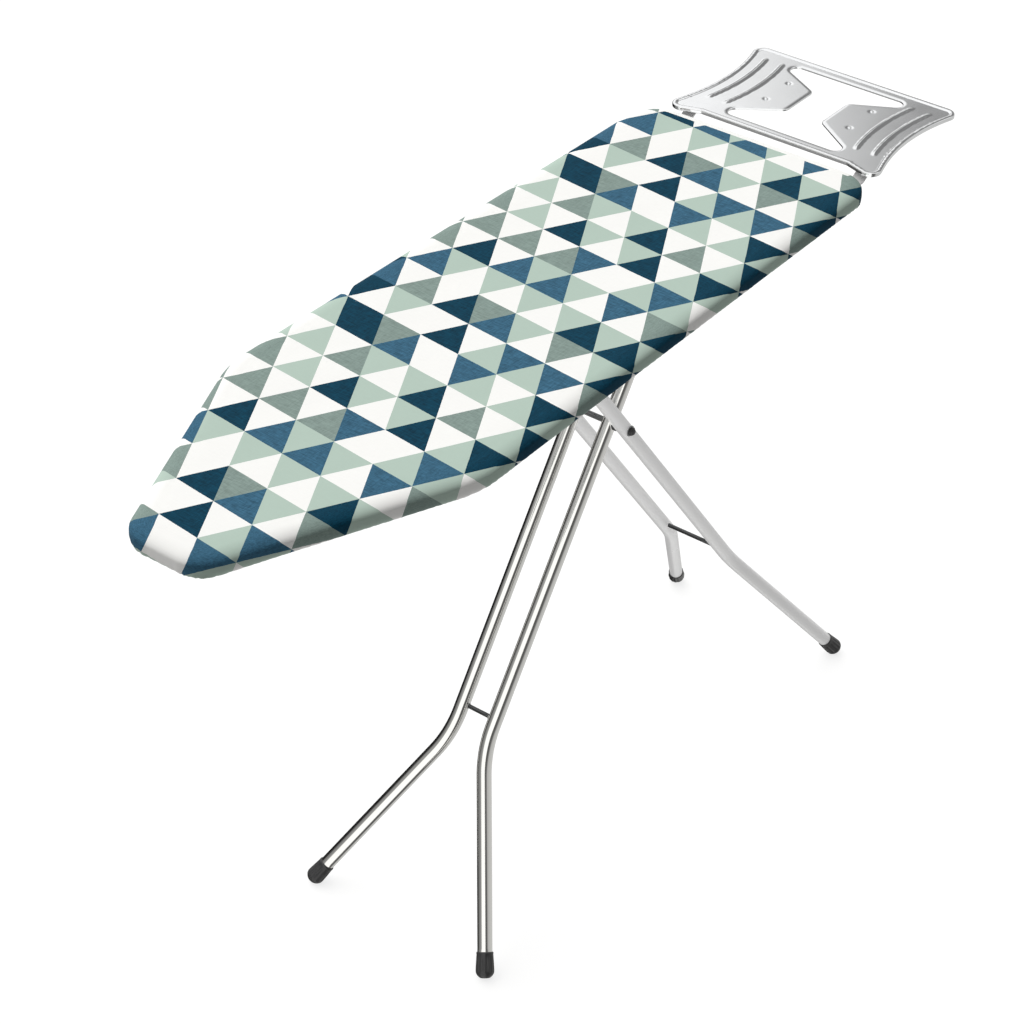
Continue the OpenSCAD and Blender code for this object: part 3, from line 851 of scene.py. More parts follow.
def cover_sheet():
    """Points, faces, places on the print, and each point's ring and outline sample.
    Points of the flat top inside ring 0 have -1 for both."""
    grid = hexgrid(X_NOSE, X_REAR, -HALF_WIDTH, HALF_WIDTH, 9.0)
    near = ((grid[:, None, :] - EDGE[None, ::3, :]) ** 2).sum(2).argmin(1) * 3
    gap = -((grid - EDGE[near]) * OUTWARD[near]).sum(1)
    grid = grid[gap > COVER_MARGIN + 5.0]
    xy = np.vstack([EDGE - OUTWARD * COVER_MARGIN, grid])
    faces = triangulate(xy, [range(EDGE_COUNT)])
    points = [np.column_stack([xy, np.full(len(xy), Z_TOP)])]
    previous = 0
    for k in range(1, len(PROFILE)):
        inset, z = PROFILE[k]
        points.append(np.column_stack([EDGE - OUTWARD * inset, np.full(EDGE_COUNT, z)]))
        current = len(xy) + (k - 1) * EDGE_COUNT
        for q in range(EDGE_COUNT):
            q2 = (q + 1) % EDGE_COUNT
            faces.append((previous + q, previous + q2, current + q2, current + q))
        previous = current
    flat = np.vstack([np.column_stack([xy, np.zeros(len(xy))])] + unroll_edge())
    samples, interior = np.arange(EDGE_COUNT), np.full(len(grid), -1)
    later = np.arange(1, len(PROFILE))
    ring = np.concatenate([samples * 0, interior, np.repeat(later, EDGE_COUNT)])
    sample = np.concatenate([samples, interior, np.tile(samples, len(later))])
    return np.vstack(points), faces, flat, ring, sample


def relax_cloth():
    """Blows a little air into a coarse copy of the edge; returns each ring point's movement."""
    last, every, frame_count = LAST_RELAXED_RING, 4, 16
    ids = np.arange(0, EDGE_COUNT, every)
    n = len(ids)
    v = np.vstack([np.column_stack([EDGE[ids] - OUTWARD[ids] * inset, np.full(n, z)])
                   for inset, z in PROFILE[:last + 1]])
    # start very slightly shrunk towards the middle
    v = v + (np.array([(X_NOSE + X_REAR) / 2, 0, Z_TOP - 10]) - v) * 0.0015
    faces = tube_faces(last + 1, n) + end_caps(0, last * n, n)
    scale = 0.01  # ten times life size: the solver is steadier there
    mesh = bpy.data.meshes.new("sim")
    mesh.from_pydata([tuple(p) for p in v * scale], [], [tuple(reversed(f)) for f in faces])
    ob = bpy.data.objects.new("sim", mesh)
    SCENE.collection.objects.link(ob)
    pins = ob.vertex_groups.new(name="pin")
    for k, weight in ((0, 1.0), (1, 0.6), (last - 1, 0.6), (last, 1.0)):
        pins.add(list(range(k * n, (k + 1) * n)), weight, "REPLACE")
    cloth = ob.modifiers.new("cloth", "CLOTH")
    settings = cloth.settings
    settings.quality = 4
    settings.mass = 0.3
    settings.tension_stiffness = settings.compression_stiffness = 25
    settings.shear_stiffness = 15
    settings.bending_stiffness = 1.2
    settings.tension_damping = settings.compression_damping = 12
    settings.air_damping = 4
    settings.vertex_group_mass = "pin"
    settings.use_pressure = True
    settings.uniform_pressure_force = 4.0
    settings.effector_weights.gravity = 0.0
    cloth.collision_settings.use_collision = False
    cloth.point_cache.frame_start = 1
    cloth.point_cache.frame_end = frame_count
    for f in range(1, frame_count + 1):
        SCENE.frame_set(f)
    result = ob.evaluated_get(bpy.context.evaluated_depsgraph_get()).to_mesh()
    relaxed = np.zeros(len(v) * 3)
    result.vertices.foreach_get("co", relaxed)
    bpy.data.objects.remove(ob)
    SCENE.frame_set(1)
    move = (relaxed.reshape(-1, 3) / scale - v).reshape(last + 1, n, 3)
    full = np.zeros((last + 1, EDGE_COUNT, 3))
    known = np.append(ids, EDGE_COUNT)
    for k in range(last + 1):
        for c in range(3):
            values = np.append(move[k, :, c], move[k, 0, c])
            full[k, :, c] = np.interp(np.arange(EDGE_COUNT), known, values)
    return full


def fill_edge(points, faces, ring, sample):
    """Moves the edge by the relaxed cloth, softly limited outwards and sideways."""
    move = relax_cloth()
    if not np.isfinite(move).all():  # leave the edge as drawn if the solver diverged
        return points
    most_out, most_in, most_sideways = 1.2, 0.15, 0.5
    normals = vertex_normals(points, faces)
    relaxed = (ring >= 1) & (ring < len(move))
    delta = np.zeros_like(points)
    delta[relaxed] = move[ring[relaxed], sample[relaxed]]
    out = (delta * normals).sum(1)
    side = delta - out[:, None] * normals
    out = most_out * np.tanh(np.maximum(out, -most_in) / most_out)
    length = np.linalg.norm(side, axis=1)
    side *= (np.minimum(length, most_sideways) / np.maximum(length, 1e-9))[:, None]
    return points + normals * out[:, None] + side


def ripple_top(points, ring):
    """The pad gives the flat top a few tenths of a millimetre of life."""
    top = ring <= LAST_TOP_RING
    height = [0.55 * noise.noise(Vector((x / 95.0, y / 70.0, 3.1)))
              + 0.16 * noise.noise(Vector((x / 30.0, y / 26.0, 7.7)))
              for x, y in points[top, :2]]
    points[top, 2] += np.array(height) * np.where(ring[top] < 0, 1.0, 0.7)


hem_draw = np.random.RandomState(5)


def uneven(width):
    """Random variation round the outline, smoothed over width."""
    return spread(hem_draw.uniform(-1, 1, EDGE_COUNT), width) * 3.0


gather_length = 12.0 + 5.0 * uneven(9)
gather_unevenness = uneven(12)
HEM_DIP = uneven(20)


def gather_hem(points, faces, ring, sample):
    """Gathers where the drawn hem takes up spare cloth, and a hem that rises and dips."""
    turn = 2 * math.pi
    steps = np.append(np.diff(EDGE_LENGTH), PERIMETER - EDGE_LENGTH[-1])
    phase = np.cumsum(turn * steps / gather_length)
    phase *= round(phase[-1] / turn) * turn / phase[-1]  # whole waves round the outline
    slow = 0.37 * phase
    slow = slow * round(slow[-1] / turn) * turn / slow[-1]
    pleat = 0.5 + 0.5 * np.sin(phase) + 0.22 * np.sin(2 * phase + 1.1) + 0.18 * np.sin(slow)
    strength = (0.25 + 0.95 * TIGHT_BEND + 0.5 * ANY_BEND * (1 - TIGHT_BEND)
                + 0.25 * gather_unevenness)
    depth = 1.15 * smooth(PROFILE_LENGTH[ROLL_MIDDLE_RING], PROFILE_LENGTH[FLAP_RING],
                          PROFILE_LENGTH)
    depth[CASING_RING:] *= 0.85

    on = ring >= 0
    r, s = ring[on], sample[on]
    level = np.column_stack([OUTWARD, np.zeros(EDGE_COUNT)])[s]
    normals = vertex_normals(points, faces)[on]
    push = np.where((r < CASING_RING)[:, None], level, normals * 0.5)
    points[on] += push * (depth[r] * strength[s] * pleat[s])[:, None]
    low = ring >= TURN_RING
    share = np.clip((ring[low] - TURN_RING) / 6.0, 0, 1)
    points[low, 2] += HEM_DIP[sample[low]] * 0.35 * share


def build_cover():
    points, faces, flat, ring, sample = cover_sheet()
    points = fill_edge(points, faces, ring, sample)
    ripple_top(points, ring)
    gather_hem(points, faces, ring, sample)
    add_piece("cover_cloth", thicken(points, faces, CLOTH_THICKNESS), COVER, "board",
              ("cotton_cover",), flat=np.vstack([flat, flat]))


build_cover()


# ------------------------------------------------------------------ felt under the cover
def build_felt():
    z_top = Z_TOP - 1.25
    z_bottom = mm_box("felt_pad")[0][2] + 0.1
    margin = 30.0
    profile = [(margin, z_top)]  # inset, z
    for k in range(9):
        t = math.pi / 2 * k / 8
        profile.append((3.0 + 20.0 * (1 - math.sin(t)), z_top - 4.6 * (1 - math.cos(t))))
    profile += [(3.3, z_bottom), (margin, z_bottom)]
    edge, outward = EDGE[::3], OUTWARD[::3]
    n = len(edge)
    points = [np.column_stack([edge - outward * inset, np.full(n, z)]) for inset, z in profile]
    fill = triangulate(edge - outward * margin, [range(n)])
    last = (len(profile) - 1) * n
    faces = fill + tube_faces(len(profile), n)
    faces += [tuple(last + i for i in reversed(t)) for t in fill]
    add_piece("felt_layer", (np.vstack(points), faces), FELT, "board", ("felt_pad",))


build_felt()

# ------------------------------------------------------------------ hem cord and cord lock
lock_lo, lock_hi = mm_box("cord_toggle")
lock_middle = (lock_lo + lock_hi) / 2
CORD_HOLE_Y = 2.6
CORD_RADIUS = 1.15
NOSE_GAP_HALF = 15.0  # the cord leaves its casing this far either side of the nose


def cord_tail(end, towards, side):
    """From the hem casing to the lock, through it and down to a short free end."""
    x, y = lock_middle[0], CORD_HOLE_Y * side
    hole = np.array([x, y, lock_hi[2] + 0.2])
    below = np.array([x, y, lock_lo[2] - 0.4])
    to_lock = bezier(end, end + towards * 9, hole + np.array([-3, 6 * side, 7.0]) * 0.4, hole)
    through = np.linspace(hole, below, 6)[1:]
    free = bezier(below, below + np.array([1, 0, -5]), below + np.array([12, 3 * side, -7]),
                  below + np.array([26.0, 9 * side, -1]))[1:]
    return np.vstack([to_lock, through, free])


def build_cord():
    # from the +Y side of the nose round the board to the -Y side
    gap = np.flatnonzero((EDGE[:, 0] < X_NOSE + 3) & (np.abs(EDGE[:, 1]) < NOSE_GAP_HALF))
    order = np.arange(gap[-1] + 1, gap[0] + EDGE_COUNT) % EDGE_COUNT
    ring = np.column_stack([EDGE[order] - OUTWARD[order] * BEAD_INSET,
                            BEAD_Z + 0.35 * HEM_DIP[order]])
    first = cord_tail(ring[0], unit(ring[0] - ring[1]), 1)[::-1]
    last = cord_tail(ring[-1], unit(ring[-1] - ring[-2]), -1)
    path = np.vstack([first[:-1], ring, last[1:]])
    knot_profile = [(-2.6, 1.1), (-1.8, 2.0), (-0.4, 2.5), (1.2, 2.35), (2.2, 1.6),
                    (3.4, 1.3), (6.0, 1.75), (6.2, 0.9)]
    parts = [sweep(path, CORD_RADIUS, 10)]
    for end, before in ((path[0], path[2]), (path[-1], path[-3])):
        axis = unit(end - before)
        parts.append(lathe(end - axis * 3.5, axis, knot_profile, 20))
    add_piece("hem_drawcord", join(parts)[:2], CORD, "board", ("hem_cord",))


def build_cord_lock():
    """Barrel across the board, a button towards the nose, two ridges, collars at the holes."""
    x, _, z = lock_middle
    barrel = [(-9.0, 2.6), (-8.8, 3.6), (-8.2, 4.6), (-7.2, 5.2), (-5.8, 5.4),
              (5.8, 5.4), (7.2, 5.2), (8.2, 4.6), (8.8, 3.6), (9.0, 2.6)]
    button = [(0, 3.2), (3.4, 3.2), (4.0, 2.9), (4.3, 2.2)]
    ridge = [(-0.7, 5.4), (-0.4, 5.8), (0.4, 5.8), (0.7, 5.4)]
    collar = [(0, 2.1), (1.2, 2.1), (1.5, 1.8), (1.5, 1.3), (0.6, 1.2)]
    parts = [lathe(lock_middle, (0, 1, 0), barrel, 40), lathe((x - 5.0, 0, z), (-1, 0, 0), button, 28)]
    parts += [lathe((x, s * 5.8, z), (0, 1, 0), ridge, 40) for s in (-1, 1)]
    parts += [lathe((x, s * CORD_HOLE_Y, lock_hi[2] - 1.4), (0, 0, 1), collar, 24)
              for s in (-1, 1)]
    add_piece("cord_lock", join(parts), DARK, "board", ("cord_toggle",))


def build_stitches():
    """Stitches that close the casing, on the turned-under flap."""
    pitch, half, inset, z = 4.2, 1.35, 6.6, Z_HEM - 2.4
    stations = ((-half, 0.06), (-0.7 * half, 0.28), (0.7 * half, 0.28), (half, 0.06))
    sides = 5
    faces = tube_faces(len(stations), sides) + end_caps(0, (len(stations) - 1) * sides, sides)
    up = np.array([0, 0, 1.0])
    parts = []
    position = 0.0
    while position < PERIMETER - pitch:
        q = int(np.searchsorted(EDGE_LENGTH, position + pitch * 0.5)) % EDGE_COUNT
        x, y = EDGE[q] - OUTWARD[q] * inset
        middle = np.array([x, y, z + 0.35 * HEM_DIP[q]])
        along = np.array([OUTWARD[q][1], -OUTWARD[q][0], 0.0])
        out = np.array([OUTWARD[q][0], OUTWARD[q][1], 0.0])
        points = []
        for offset, r in stations:
            for k in range(sides):
                a = 2 * math.pi * k / sides
                points.append(middle + along * offset + out * r * math.cos(a) * 1.1
                              + up * r * math.sin(a) * 0.8)
        parts.append((np.array(points), faces, [False] * len(faces)))
        position += pitch
    add_piece("hem_stitches", join(parts), CORD, "board")


build_cord()
build_cord_lock()
build_stitches()

# ------------------------------------------------------------------ iron rest
REST_X0, REST_X1 = X_REAR + 33.0, rest_hi[0]
REST_RIM = 1.5                     # the rim stands this much above the pan
REST_Z = rest_hi[2] - REST_RIM
OUTER_ROLL, INNER_ROLL = 1.8, 1.6  # radii of the rolled edges
REST_THICKNESS = 0.95
RIVET_XS, RIVET_Y = (REST_X0 + 87, REST_X0 + 146), 68.0

REST_OUTLINE = symmetric_loop(
    [(REST_X0, 0.0), (REST_X0, 118.0)]
    + arc(REST_X0 + 5, 151.5, 15.5, 208, 76)
    + arc((REST_X0 + REST_X1) / 2, 456.0, 306, 254.5, 285.5)
    + arc(REST_X1 - 16, 148.0, 16, 102, 0)
    + [(REST_X1, 0.0)], step=2.0)
REST_OPENING = symmetric_loop(
    [(REST_X1 - 20, 0.0)]
    + arc(REST_X1 - 31, 80, 11, 0, 148, step=1.2)
    + arc(REST_X1 - 79, 39, 11, 328, 270, step=1.2)
    + arc(REST_X0 + 84, 39, 11, 270, 214, step=1.2)
    + arc(REST_X0 + 29, 80, 11, 34, 180, step=1.2)
    + [(REST_X0 + 18, 0.0)], step=1.8)


def rest_height(p):
    """Pressed shape above REST_Z: rim, sunk opening edge, curved ribs and rivet dimples."""
    from_edge = loop_distance(p, REST_OUTLINE)
    z = REST_RIM * (1 - smooth(5.6, 7.0, from_edge))
    z = z - 0.35 * (1 - smooth(1.5, 4.0, loop_distance(p, REST_OPENING))) * (from_edge > 7)
    rib_radius, rib_half_width, rib_rise = 320.0, 2.9, 1.7
    for s in (-1, 1):
        for rib_y in (126.0, 98.0):
            middle = np.array((REST_X0 + 115.0, s * (rib_y + rib_radius)))
            off = np.linalg.norm(p - middle, axis=1) - rib_radius
            ends = (smooth(REST_X0 + 38, REST_X0 + 47, p[:, 0])
                    * (1 - smooth(REST_X0 + 183, REST_X0 + 192, p[:, 0])))
            section = np.clip(1 - (off / rib_half_width) ** 2, 0, 1) ** 1.2
            z = z + rib_rise * section * ends * (p[:, 1] * s > 50)
        for x in RIVET_XS:
            r = np.linalg.norm(p - np.array((x, s * RIVET_Y)), axis=1)
            z = z - 0.4 * (1 - smooth(3.0, 5.2, r))
    return z


def add_rings(blocks, faces, loop, normals, first, steps, outward):
    """Rolls an edge over from vertex number first: steps are (offset from the loop, z)."""
    n = len(loop)
    as_is = is_ccw(loop) == outward
    previous = first
    for offset, z in steps:
        current = sum(map(len, blocks))
        blocks.append(np.column_stack([loop + normals * offset, np.full(n, z)]))
        for q in range(n):
            q2 = (q + 1) % n
            quad = (previous + q, current + q, current + q2, previous + q2)
            faces.append(quad if as_is else quad[::-1])
        previous = current


def build_rest():
    out_normals, in_normals = loop_normals(REST_OUTLINE), loop_normals(REST_OPENING)
    outer = REST_OUTLINE - out_normals * OUTER_ROLL
    inner = REST_OPENING + in_normals * INNER_ROLL

    def between(points, outer_gap, inner_gap):
        points = points[inside(points, outer) & ~inside(points, inner)]
        return points[(loop_distance(points, outer) > outer_gap)
                      & (loop_distance(points, inner) > inner_gap)]

    grid = hexgrid(rest_lo[0], rest_hi[0], rest_lo[1], rest_hi[1], 2.2)
    grid = between(grid, 1.3, 1.2)
    # lines of points along the step of the rim keep it crisp
    lines = np.vstack([REST_OUTLINE - out_normals * d for d in (5.2, 6.0, 7.0, 7.8)])
    lines = between(lines, 1.0, 1.0)
    clear = np.array([np.min(((lines - p) ** 2).sum(1)) > 0.9 for p in grid])
    xy = np.vstack([outer, inner, grid[clear], lines])
    n_outer, n_both = len(outer), len(outer) + len(inner)
    faces = triangulate(xy, [range(n_outer), range(n_outer, n_both)])
    z = REST_Z + rest_height(xy)
    blocks = [np.column_stack([xy, z])]

    steps = []
    for k in range(1, 7):
        t = math.pi / 2 * k / 6
        steps.append((-OUTER_ROLL * (1 - math.sin(t)),
                      REST_Z + REST_RIM - OUTER_ROLL * (1 - math.cos(t))))
    steps += [(0.0, REST_Z - 1.6), (0.0, REST_Z - 3.4), (-0.15, REST_Z - 4.1),
              (-0.5, REST_Z - 4.5), (-1.4, REST_Z - 4.6)]
    add_rings(blocks, faces, REST_OUTLINE, out_normals, 0, steps, True)

    z_inner = z[n_outer:n_both]
    steps = []
    for k in range(1, 6):
        t = math.pi / 2 * k / 5
        steps.append((INNER_ROLL * (1 - math.sin(t)), z_inner - INNER_ROLL * (1 - math.cos(t))))
    steps += [(0.0, z_inner - 2.1), (0.1, z_inner - 2.6)]
    add_rings(blocks, faces, REST_OPENING, in_normals, n_outer, steps, False)
    add_piece("iron_rest", thicken(np.vstack(blocks), faces, REST_THICKNESS), REST, "board",
              ("rest_plate",))


def build_rest_rivets():
    foot = mm_box("rest_rivets")[0][2] - REST_Z
    profile = [(foot, 2.6), (foot + 0.15, 3.6), (foot + 1.5, 4.2), (foot + 1.5, 2.5),
               (-1.2, 2.5), (-0.5, 2.6), (-0.45, 2.9), (0.15, 2.8), (0.75, 2.3),
               (1.15, 1.5), (1.3, 0.7)]
    rivets = [lathe((x, s * RIVET_Y, REST_Z), (0, 0, 1), profile, 36)
              for s in (-1, 1) for x in RIVET_XS]
    add_piece("rest_rivet_heads", join(rivets), REST, "board", ("rest_rivets",))


build_rest()
build_rest_rivets()

# ------------------------------------------------------------------ legs
BORE = (9.0, 30.0)      # radius and depth of the open upper end
BEND_RADIUS = 160.0
FOOT_INSET = 12.0       # foot centre from the outer faces of the cap
FOOT_Z = 10.5

hinge_lo, hinge_hi = mm_box("hinge_pin")
hinge_rise = (hinge_lo[2] + hinge_hi[2]) / 2 - PIVOT_Z
front_cap_lo, front_cap_hi = mm_box("front_foot_caps")
rear_cap_lo, rear_cap_hi = mm_box("rear_foot_caps")


def leg_top(y, direction, extra):
    """Upper end: from the pivot up to hinge height and extra beyond, along direction."""
    direction = np.array(direction)
    return np.array([PIVOT_X, y, PIVOT_Z]) + direction * (hinge_rise / direction[2] + extra)


def bent_path(top, knee, end):
    """Straight from top towards knee, a round bend, straight on to end."""
    u, w = unit(top - knee), unit(end - knee)
    angle = math.acos(np.clip(np.dot(-u, w), -1, 1))
    tangent = BEND_RADIUS * math.tan(angle / 2)
    p0, p1 = knee + u * tangent, knee + w * tangent
    centre = knee + unit(u + w) * (BEND_RADIUS / math.cos(angle / 2))
    e1 = unit(p0 - centre)
    e2 = unit((p1 - centre) - e1 * np.dot(p1 - centre, e1))
    n = max(6, int(angle * BEND_RADIUS / 3.0))
    bend = [centre + BEND_RADIUS * (math.cos(angle * q / n) * e1 + math.sin(angle * q / n) * e2)
            for q in range(n + 1)]
    n0 = max(2, int(np.linalg.norm(top - p0) / 25))
    n1 = max(2, int(np.linalg.norm(end - p1) / 25))
    upper = [top + (p0 - top) * q / n0 for q in range(n0)]
    lower = [p1 + (end - p1) * q / n1 for q in range(1, n1 + 1)]
    return np.array(upper + bend + lower)


def foot_cap(foot, down):
    """Ribbed cap with a domed end, flattened where it meets the floor."""
    profile = [(-23.0, 10.05), (-23.1, 10.7), (-22.9, 11.15), (-22.4, 11.35), (-20.8, 11.45),
               (-20.2, 11.3), (-16.0, 11.55), (-10.0, 11.95), (-4.0, 12.3), (0.5, 12.5),
               (2.5, 12.5), (4.5, 12.2), (6.2, 11.4), (8.0, 10.1), (9.6, 8.6), (10.8, 7.0),
               (11.4, 5.6), (11.6, 4.0)]
    ribs, rib_depth = 14, 0.034

    def ribbing(along, angles):
        fade = smooth(-19.5, -18.0, along) * (1 - smooth(0.5, 5.0, along))
        return 1 + fade * rib_depth * (np.cos(ribs * angles) - 0.55)

    v, f, s = lathe(foot, down, profile, 144, ribbing)
    v[:, 2] = np.maximum(v[:, 2], 0.0)
    return v, f, s


def leg(top, knee, foot):
    """Tube and foot cap of the +Y leg."""
    down = unit(foot - knee)
    tube = sweep(bent_path(top, knee, foot - down * 3.0), TUBE_RADIUS, 48, bore=BORE)
    return tube, foot_cap(foot, down)


front_tube, front_foot = leg(
    top=leg_top(FRONT_LEG_Y, (0.5649, 0, 0.8252), extra=7),
    knee=np.array([-176.5, FRONT_LEG_Y, 228.5]),
    foot=np.array([front_cap_lo[0] + FOOT_INSET, front_cap_hi[1] - FOOT_INSET, FOOT_Z]))
rear_tube, rear_foot = leg(
    top=leg_top(REAR_LEG_Y, (-0.5987, 0, 0.8009), extra=-4),
    knee=np.array([373.9, REAR_LEG_Y, 234.5]),
    foot=np.array([rear_cap_hi[0] - FOOT_INSET, rear_cap_hi[1] - FOOT_INSET, FOOT_Z]))

LEG_PAIRS = (("front", front_tube, front_foot, FRONT), ("rear", rear_tube, rear_foot, REAR))
for side in ("left", "right"):
    for pair, tube, _, material in LEG_PAIRS:
        add_piece(f"{pair}_tube_{side}", tube if side == "left" else mirror_y(tube), material,
                  f"{pair}_legs", (f"{pair}_leg_{side}",))
for pair, _, foot, _ in LEG_PAIRS:
    add_piece(f"{pair}_feet", join([foot, mirror_y(foot)]), DARK, f"{pair}_legs",
              (f"{pair}_foot_caps",))


# ------------------------------------------------------------------ weld beads
def weld_ring(centre, axis, seed):
    """Lumpy bead round a cross rod, following the round wall of the tube it meets."""
    n, seg, ring_radius, bead_radius = 56, 10, 3.2, 1.0
    u = unit(np.cross(axis, (0.3, 0.2, 0.93)))
    w = np.cross(axis, u)
    draw = np.random.RandomState(seed)
    points = []
    for q in range(n):
        a = 2 * math.pi * q / n
        radial = u * math.cos(a) + w * math.sin(a)
        bead = bead_radius * (1 + 0.12 * math.sin(14 * a) + 0.06 * draw.uniform(-1, 1))
        lift = TUBE_RADIUS - math.sqrt(TUBE_RADIUS ** 2 - (ring_radius * radial[0]) ** 2 * 0.9)
        middle = centre + radial * ring_radius + axis * (-lift)
        for k in range(seg):
            b = 2 * math.pi * k / seg
            points.append(middle + radial * bead * math.cos(b) + axis * bead * math.sin(b))
    faces = [tuple(reversed(f)) for f in tube_faces(n, seg, loop=True)]
    return np.array(points), faces, [False] * len(faces)


# the rear beads take the rear tube paint, with its painted glow
for pair, material, seed in (("front", WELD, 1), ("rear", REAR, 4)):
    low, high = mm_box(f"{pair}_cross_rod")
    x, _, z = (low + high) / 2
    beads = [weld_ring(np.array([x, s * (high[1] - 4.6), z]), np.array([0.0, s, 0.0]), seed + s)
             for s in (-1, 1)]
    add_piece(f"{pair}_rod_welds", join(beads), material, f"{pair}_legs")


# ------------------------------------------------------------------ pivot ends
# A washer and a capped nut on the outside of each rear tube; profiles are (out, radius).
WASHER = [(-0.6, 3.0), (-0.6, 7.2), (-0.4, 7.5), (0.5, 7.5), (0.8, 7.2), (0.8, 3.0)]
NUT = [(0.75, 5.0), (1.0, 6.1), (3.4, 6.1), (3.9, 5.2), (4.2, 4.5), (5.2, 4.3), (6.0, 3.7),
       (6.5, 2.6), (6.7, 1.2)]


def hexagon(along, angles):
    """Flats on the lower part of the nut, corners trimmed to its full radius."""
    from_flat = (angles % (math.pi / 3)) - math.pi / 6
    if 0.9 < along < 4.0:
        return np.minimum(1.0, 0.925 / np.cos(from_flat))
    return np.ones_like(angles)


def pivot_ends(profile, seg, wave=None):
    y = REAR_LEG_Y + TUBE_RADIUS
    return join([lathe((PIVOT_X, s * y, PIVOT_Z), (0, s, 0), profile, seg, wave)
                 for s in (1, -1)])


add_piece("pivot_washers", pivot_ends(WASHER, 48), HARD, "front_legs")
add_piece("pivot_nuts", pivot_ends(NUT, 96, hexagon), DARK, "front_legs",
          ("pivot_caps",))


# ------------------------------------------------------------------ floor and camera (metres)
def build_floor():
    """White floor that takes shadows but is unseen by reflections and bounced light."""
    half, z = 40.0, -0.0004
    mesh = bpy.data.meshes.new("floor")
    mesh.from_pydata([(-half, -half, z), (half, -half, z), (half, half, z), (-half, half, z)],
                     [], [(0, 1, 2, 3)])
    floor = bpy.data.objects.new("floor", mesh)
    SCENE.collection.objects.link(floor)
    m = new_shader("floor_white")
    cloud = m.noise(m.place(scale=1), scale=0.6, detail=2)
    tint = m.mix(m.remap(cloud), (0.30, 0.30, 0.30, 1), (0.305, 0.305, 0.305, 1))
    diffuse = m.node("ShaderNodeBsdfDiffuse")
    m.put(diffuse.inputs["Color"], tint)
    glow = m.node("ShaderNodeEmission")
    glow.inputs["Color"].default_value = (1, 1, 1, 1)
    glow.inputs["Strength"].default_value = 0.78
    both = m.node("ShaderNodeAddShader")
    m.put(both.inputs[0], diffuse.outputs[0])
    m.put(both.inputs[1], glow.outputs[0])
    m.put(m.out.inputs[0], both.outputs[0])
    mesh.materials.append(m.owner)
    floor.visible_glossy = False
    floor.visible_diffuse = False


def build_camera():
    data = bpy.data.cameras.new("camera")
    camera = bpy.data.objects.new("camera", data)
    SCENE.collection.objects.link(camera)
    data.sensor_width = 36.0
    data.lens = 96.0
    data.clip_start, data.clip_end = 0.1, 200.0
    axes = Matrix((CAM_RIGHT, CAM_UP, CAM_BACK)).transposed()
    camera.matrix_world = Matrix.Translation(CAM_PLACE) @ axes.to_4x4()
    SCENE.camera = camera


# ------------------------------------------------------------------ world
# What bright metal sees round the object: (degrees from the camera's side, turning to its
# right; brightness)
PANELS = ((-180, 0.012), (-108, 0.014), (-98, 0.17), (-75, 0.25), (-57, 0.33), (-49, 1.15),
          (7, 1.2), (14, 0.09), (40, 0.13), (58, 0.50), (110, 0.62), (180, 0.50))
# direction of the main light: above, behind the object and to the camera's left
CAMERA_LEFT = Vector((-0.608, 0.794, 0.0)).normalized()
KEY = (CAMERA_LEFT * 0.40 + Vector((0, 0, 1)) * 0.76 - TO_CAMERA * 0.52).normalized()


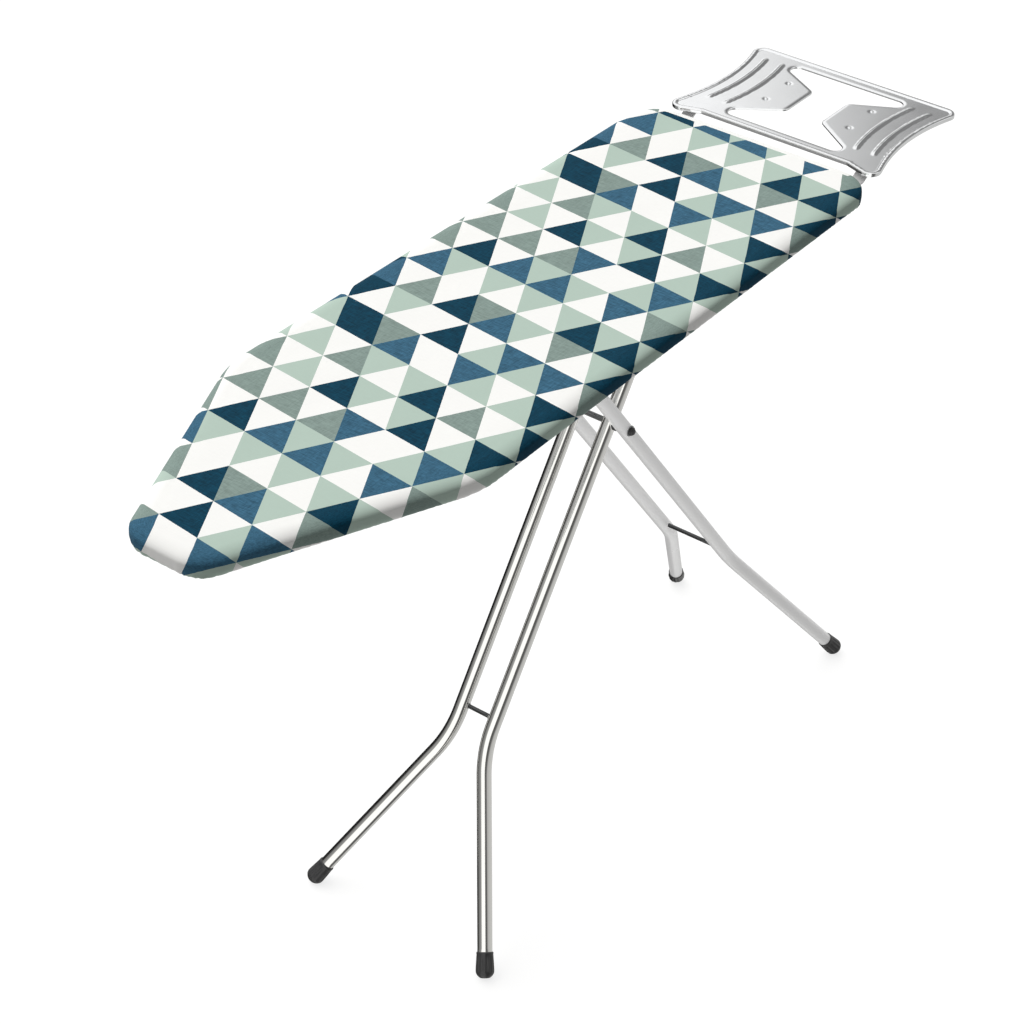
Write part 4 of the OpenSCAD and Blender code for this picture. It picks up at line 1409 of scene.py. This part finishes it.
def build_world():
    world = bpy.data.worlds.new("studio")
    SCENE.world = world
    m = Shader(world, "ShaderNodeOutputWorld")
    dx, dy, dz = m.split(m.node("ShaderNodeTexCoord").outputs["Generated"])

    def along(vector):
        x, y, z = vector
        return m.add(m.add(m.mul(dx, x), m.mul(dy, y)), m.mul(dz, z))

    # light that falls on the object: key lobe, fill from above, bounce from below
    lobe_tightness, lobe_strength = 2.6, 2.50
    lobe = m.math("POWER", m.math("MAXIMUM", along(KEY), 0.0), lobe_tightness)
    fill = m.remap(dz, span=(-0.1, 0.9), to=(0.05, 0.20))
    under = m.remap(dz, span=(-1.0, -0.1), to=(1.05, 0.0))
    soft = m.add(m.add(m.mul(lobe, lobe_strength), fill), under)

    # what reflections see: broad vertical panels, with a soft ceiling straight up
    level_right = (CAM_RIGHT.x, CAM_RIGHT.y, 0)
    azimuth = m.math("ARCTAN2", along(level_right), along(TO_CAMERA))
    degrees = m.mul(azimuth, 180 / math.pi)
    stops = [((a + 180) / 360, (v, v, v * 0.985, 1)) for a, v in PANELS]
    panels = m.ramp(m.remap(degrees, span=(-180, 180)), stops)
    ceiling = m.remap(dz, span=(0.62, 0.95))
    glossy = m.mix(ceiling, panels, (0.9, 0.9, 0.9, 1))
    # behind the object a soft card runs from bright on the left to grey on the right
    leftward = m.mul(along(level_right), -1.0)
    card = m.remap(leftward, span=(-0.160, -0.078), to=(0.20, 1.02))
    card = m.mul(card, m.remap(dz, span=(0.75, 0.95), to=(1.0, 0.75)))
    behind = m.mul(m.remap(along(-TO_CAMERA), span=(0.30, 0.50)),
                   m.remap(dz, span=(0.16, 0.30)))
    # elsewhere above the horizon a wall grows lighter upwards, so pressed shapes show
    high = m.mul(m.remap(dz, span=(0.26, 0.40)),
                 m.remap(along(TO_CAMERA), span=(0.30, 0.42), to=(1.0, 0.0)))
    wall = m.remap(dz, span=(0.20, 0.85), to=(0.36, 1.05))
    glossy = m.mix(high, glossy, m.combine((wall,) * 3))
    glossy = m.mix(behind, glossy, m.combine((card,) * 3))

    ray = m.node("ShaderNodeLightPath").outputs
    warmth = (1.0, 0.995, 0.985)
    light = m.combine([m.mul(soft, gain) for gain in warmth])
    colour = m.mix(ray["Is Glossy Ray"], light, glossy)
    colour = m.mix(ray["Is Camera Ray"], colour, (1, 1, 1, 1))
    background = m.node("ShaderNodeBackground")
    m.put(background.inputs["Color"], colour)
    background.inputs["Strength"].default_value = 1.0
    m.put(m.out.inputs[0], background.outputs[0])


build_floor()
build_camera()
build_world()
SCENE.view_settings.view_transform = "Standard"
SCENE.view_settings.look = "None"
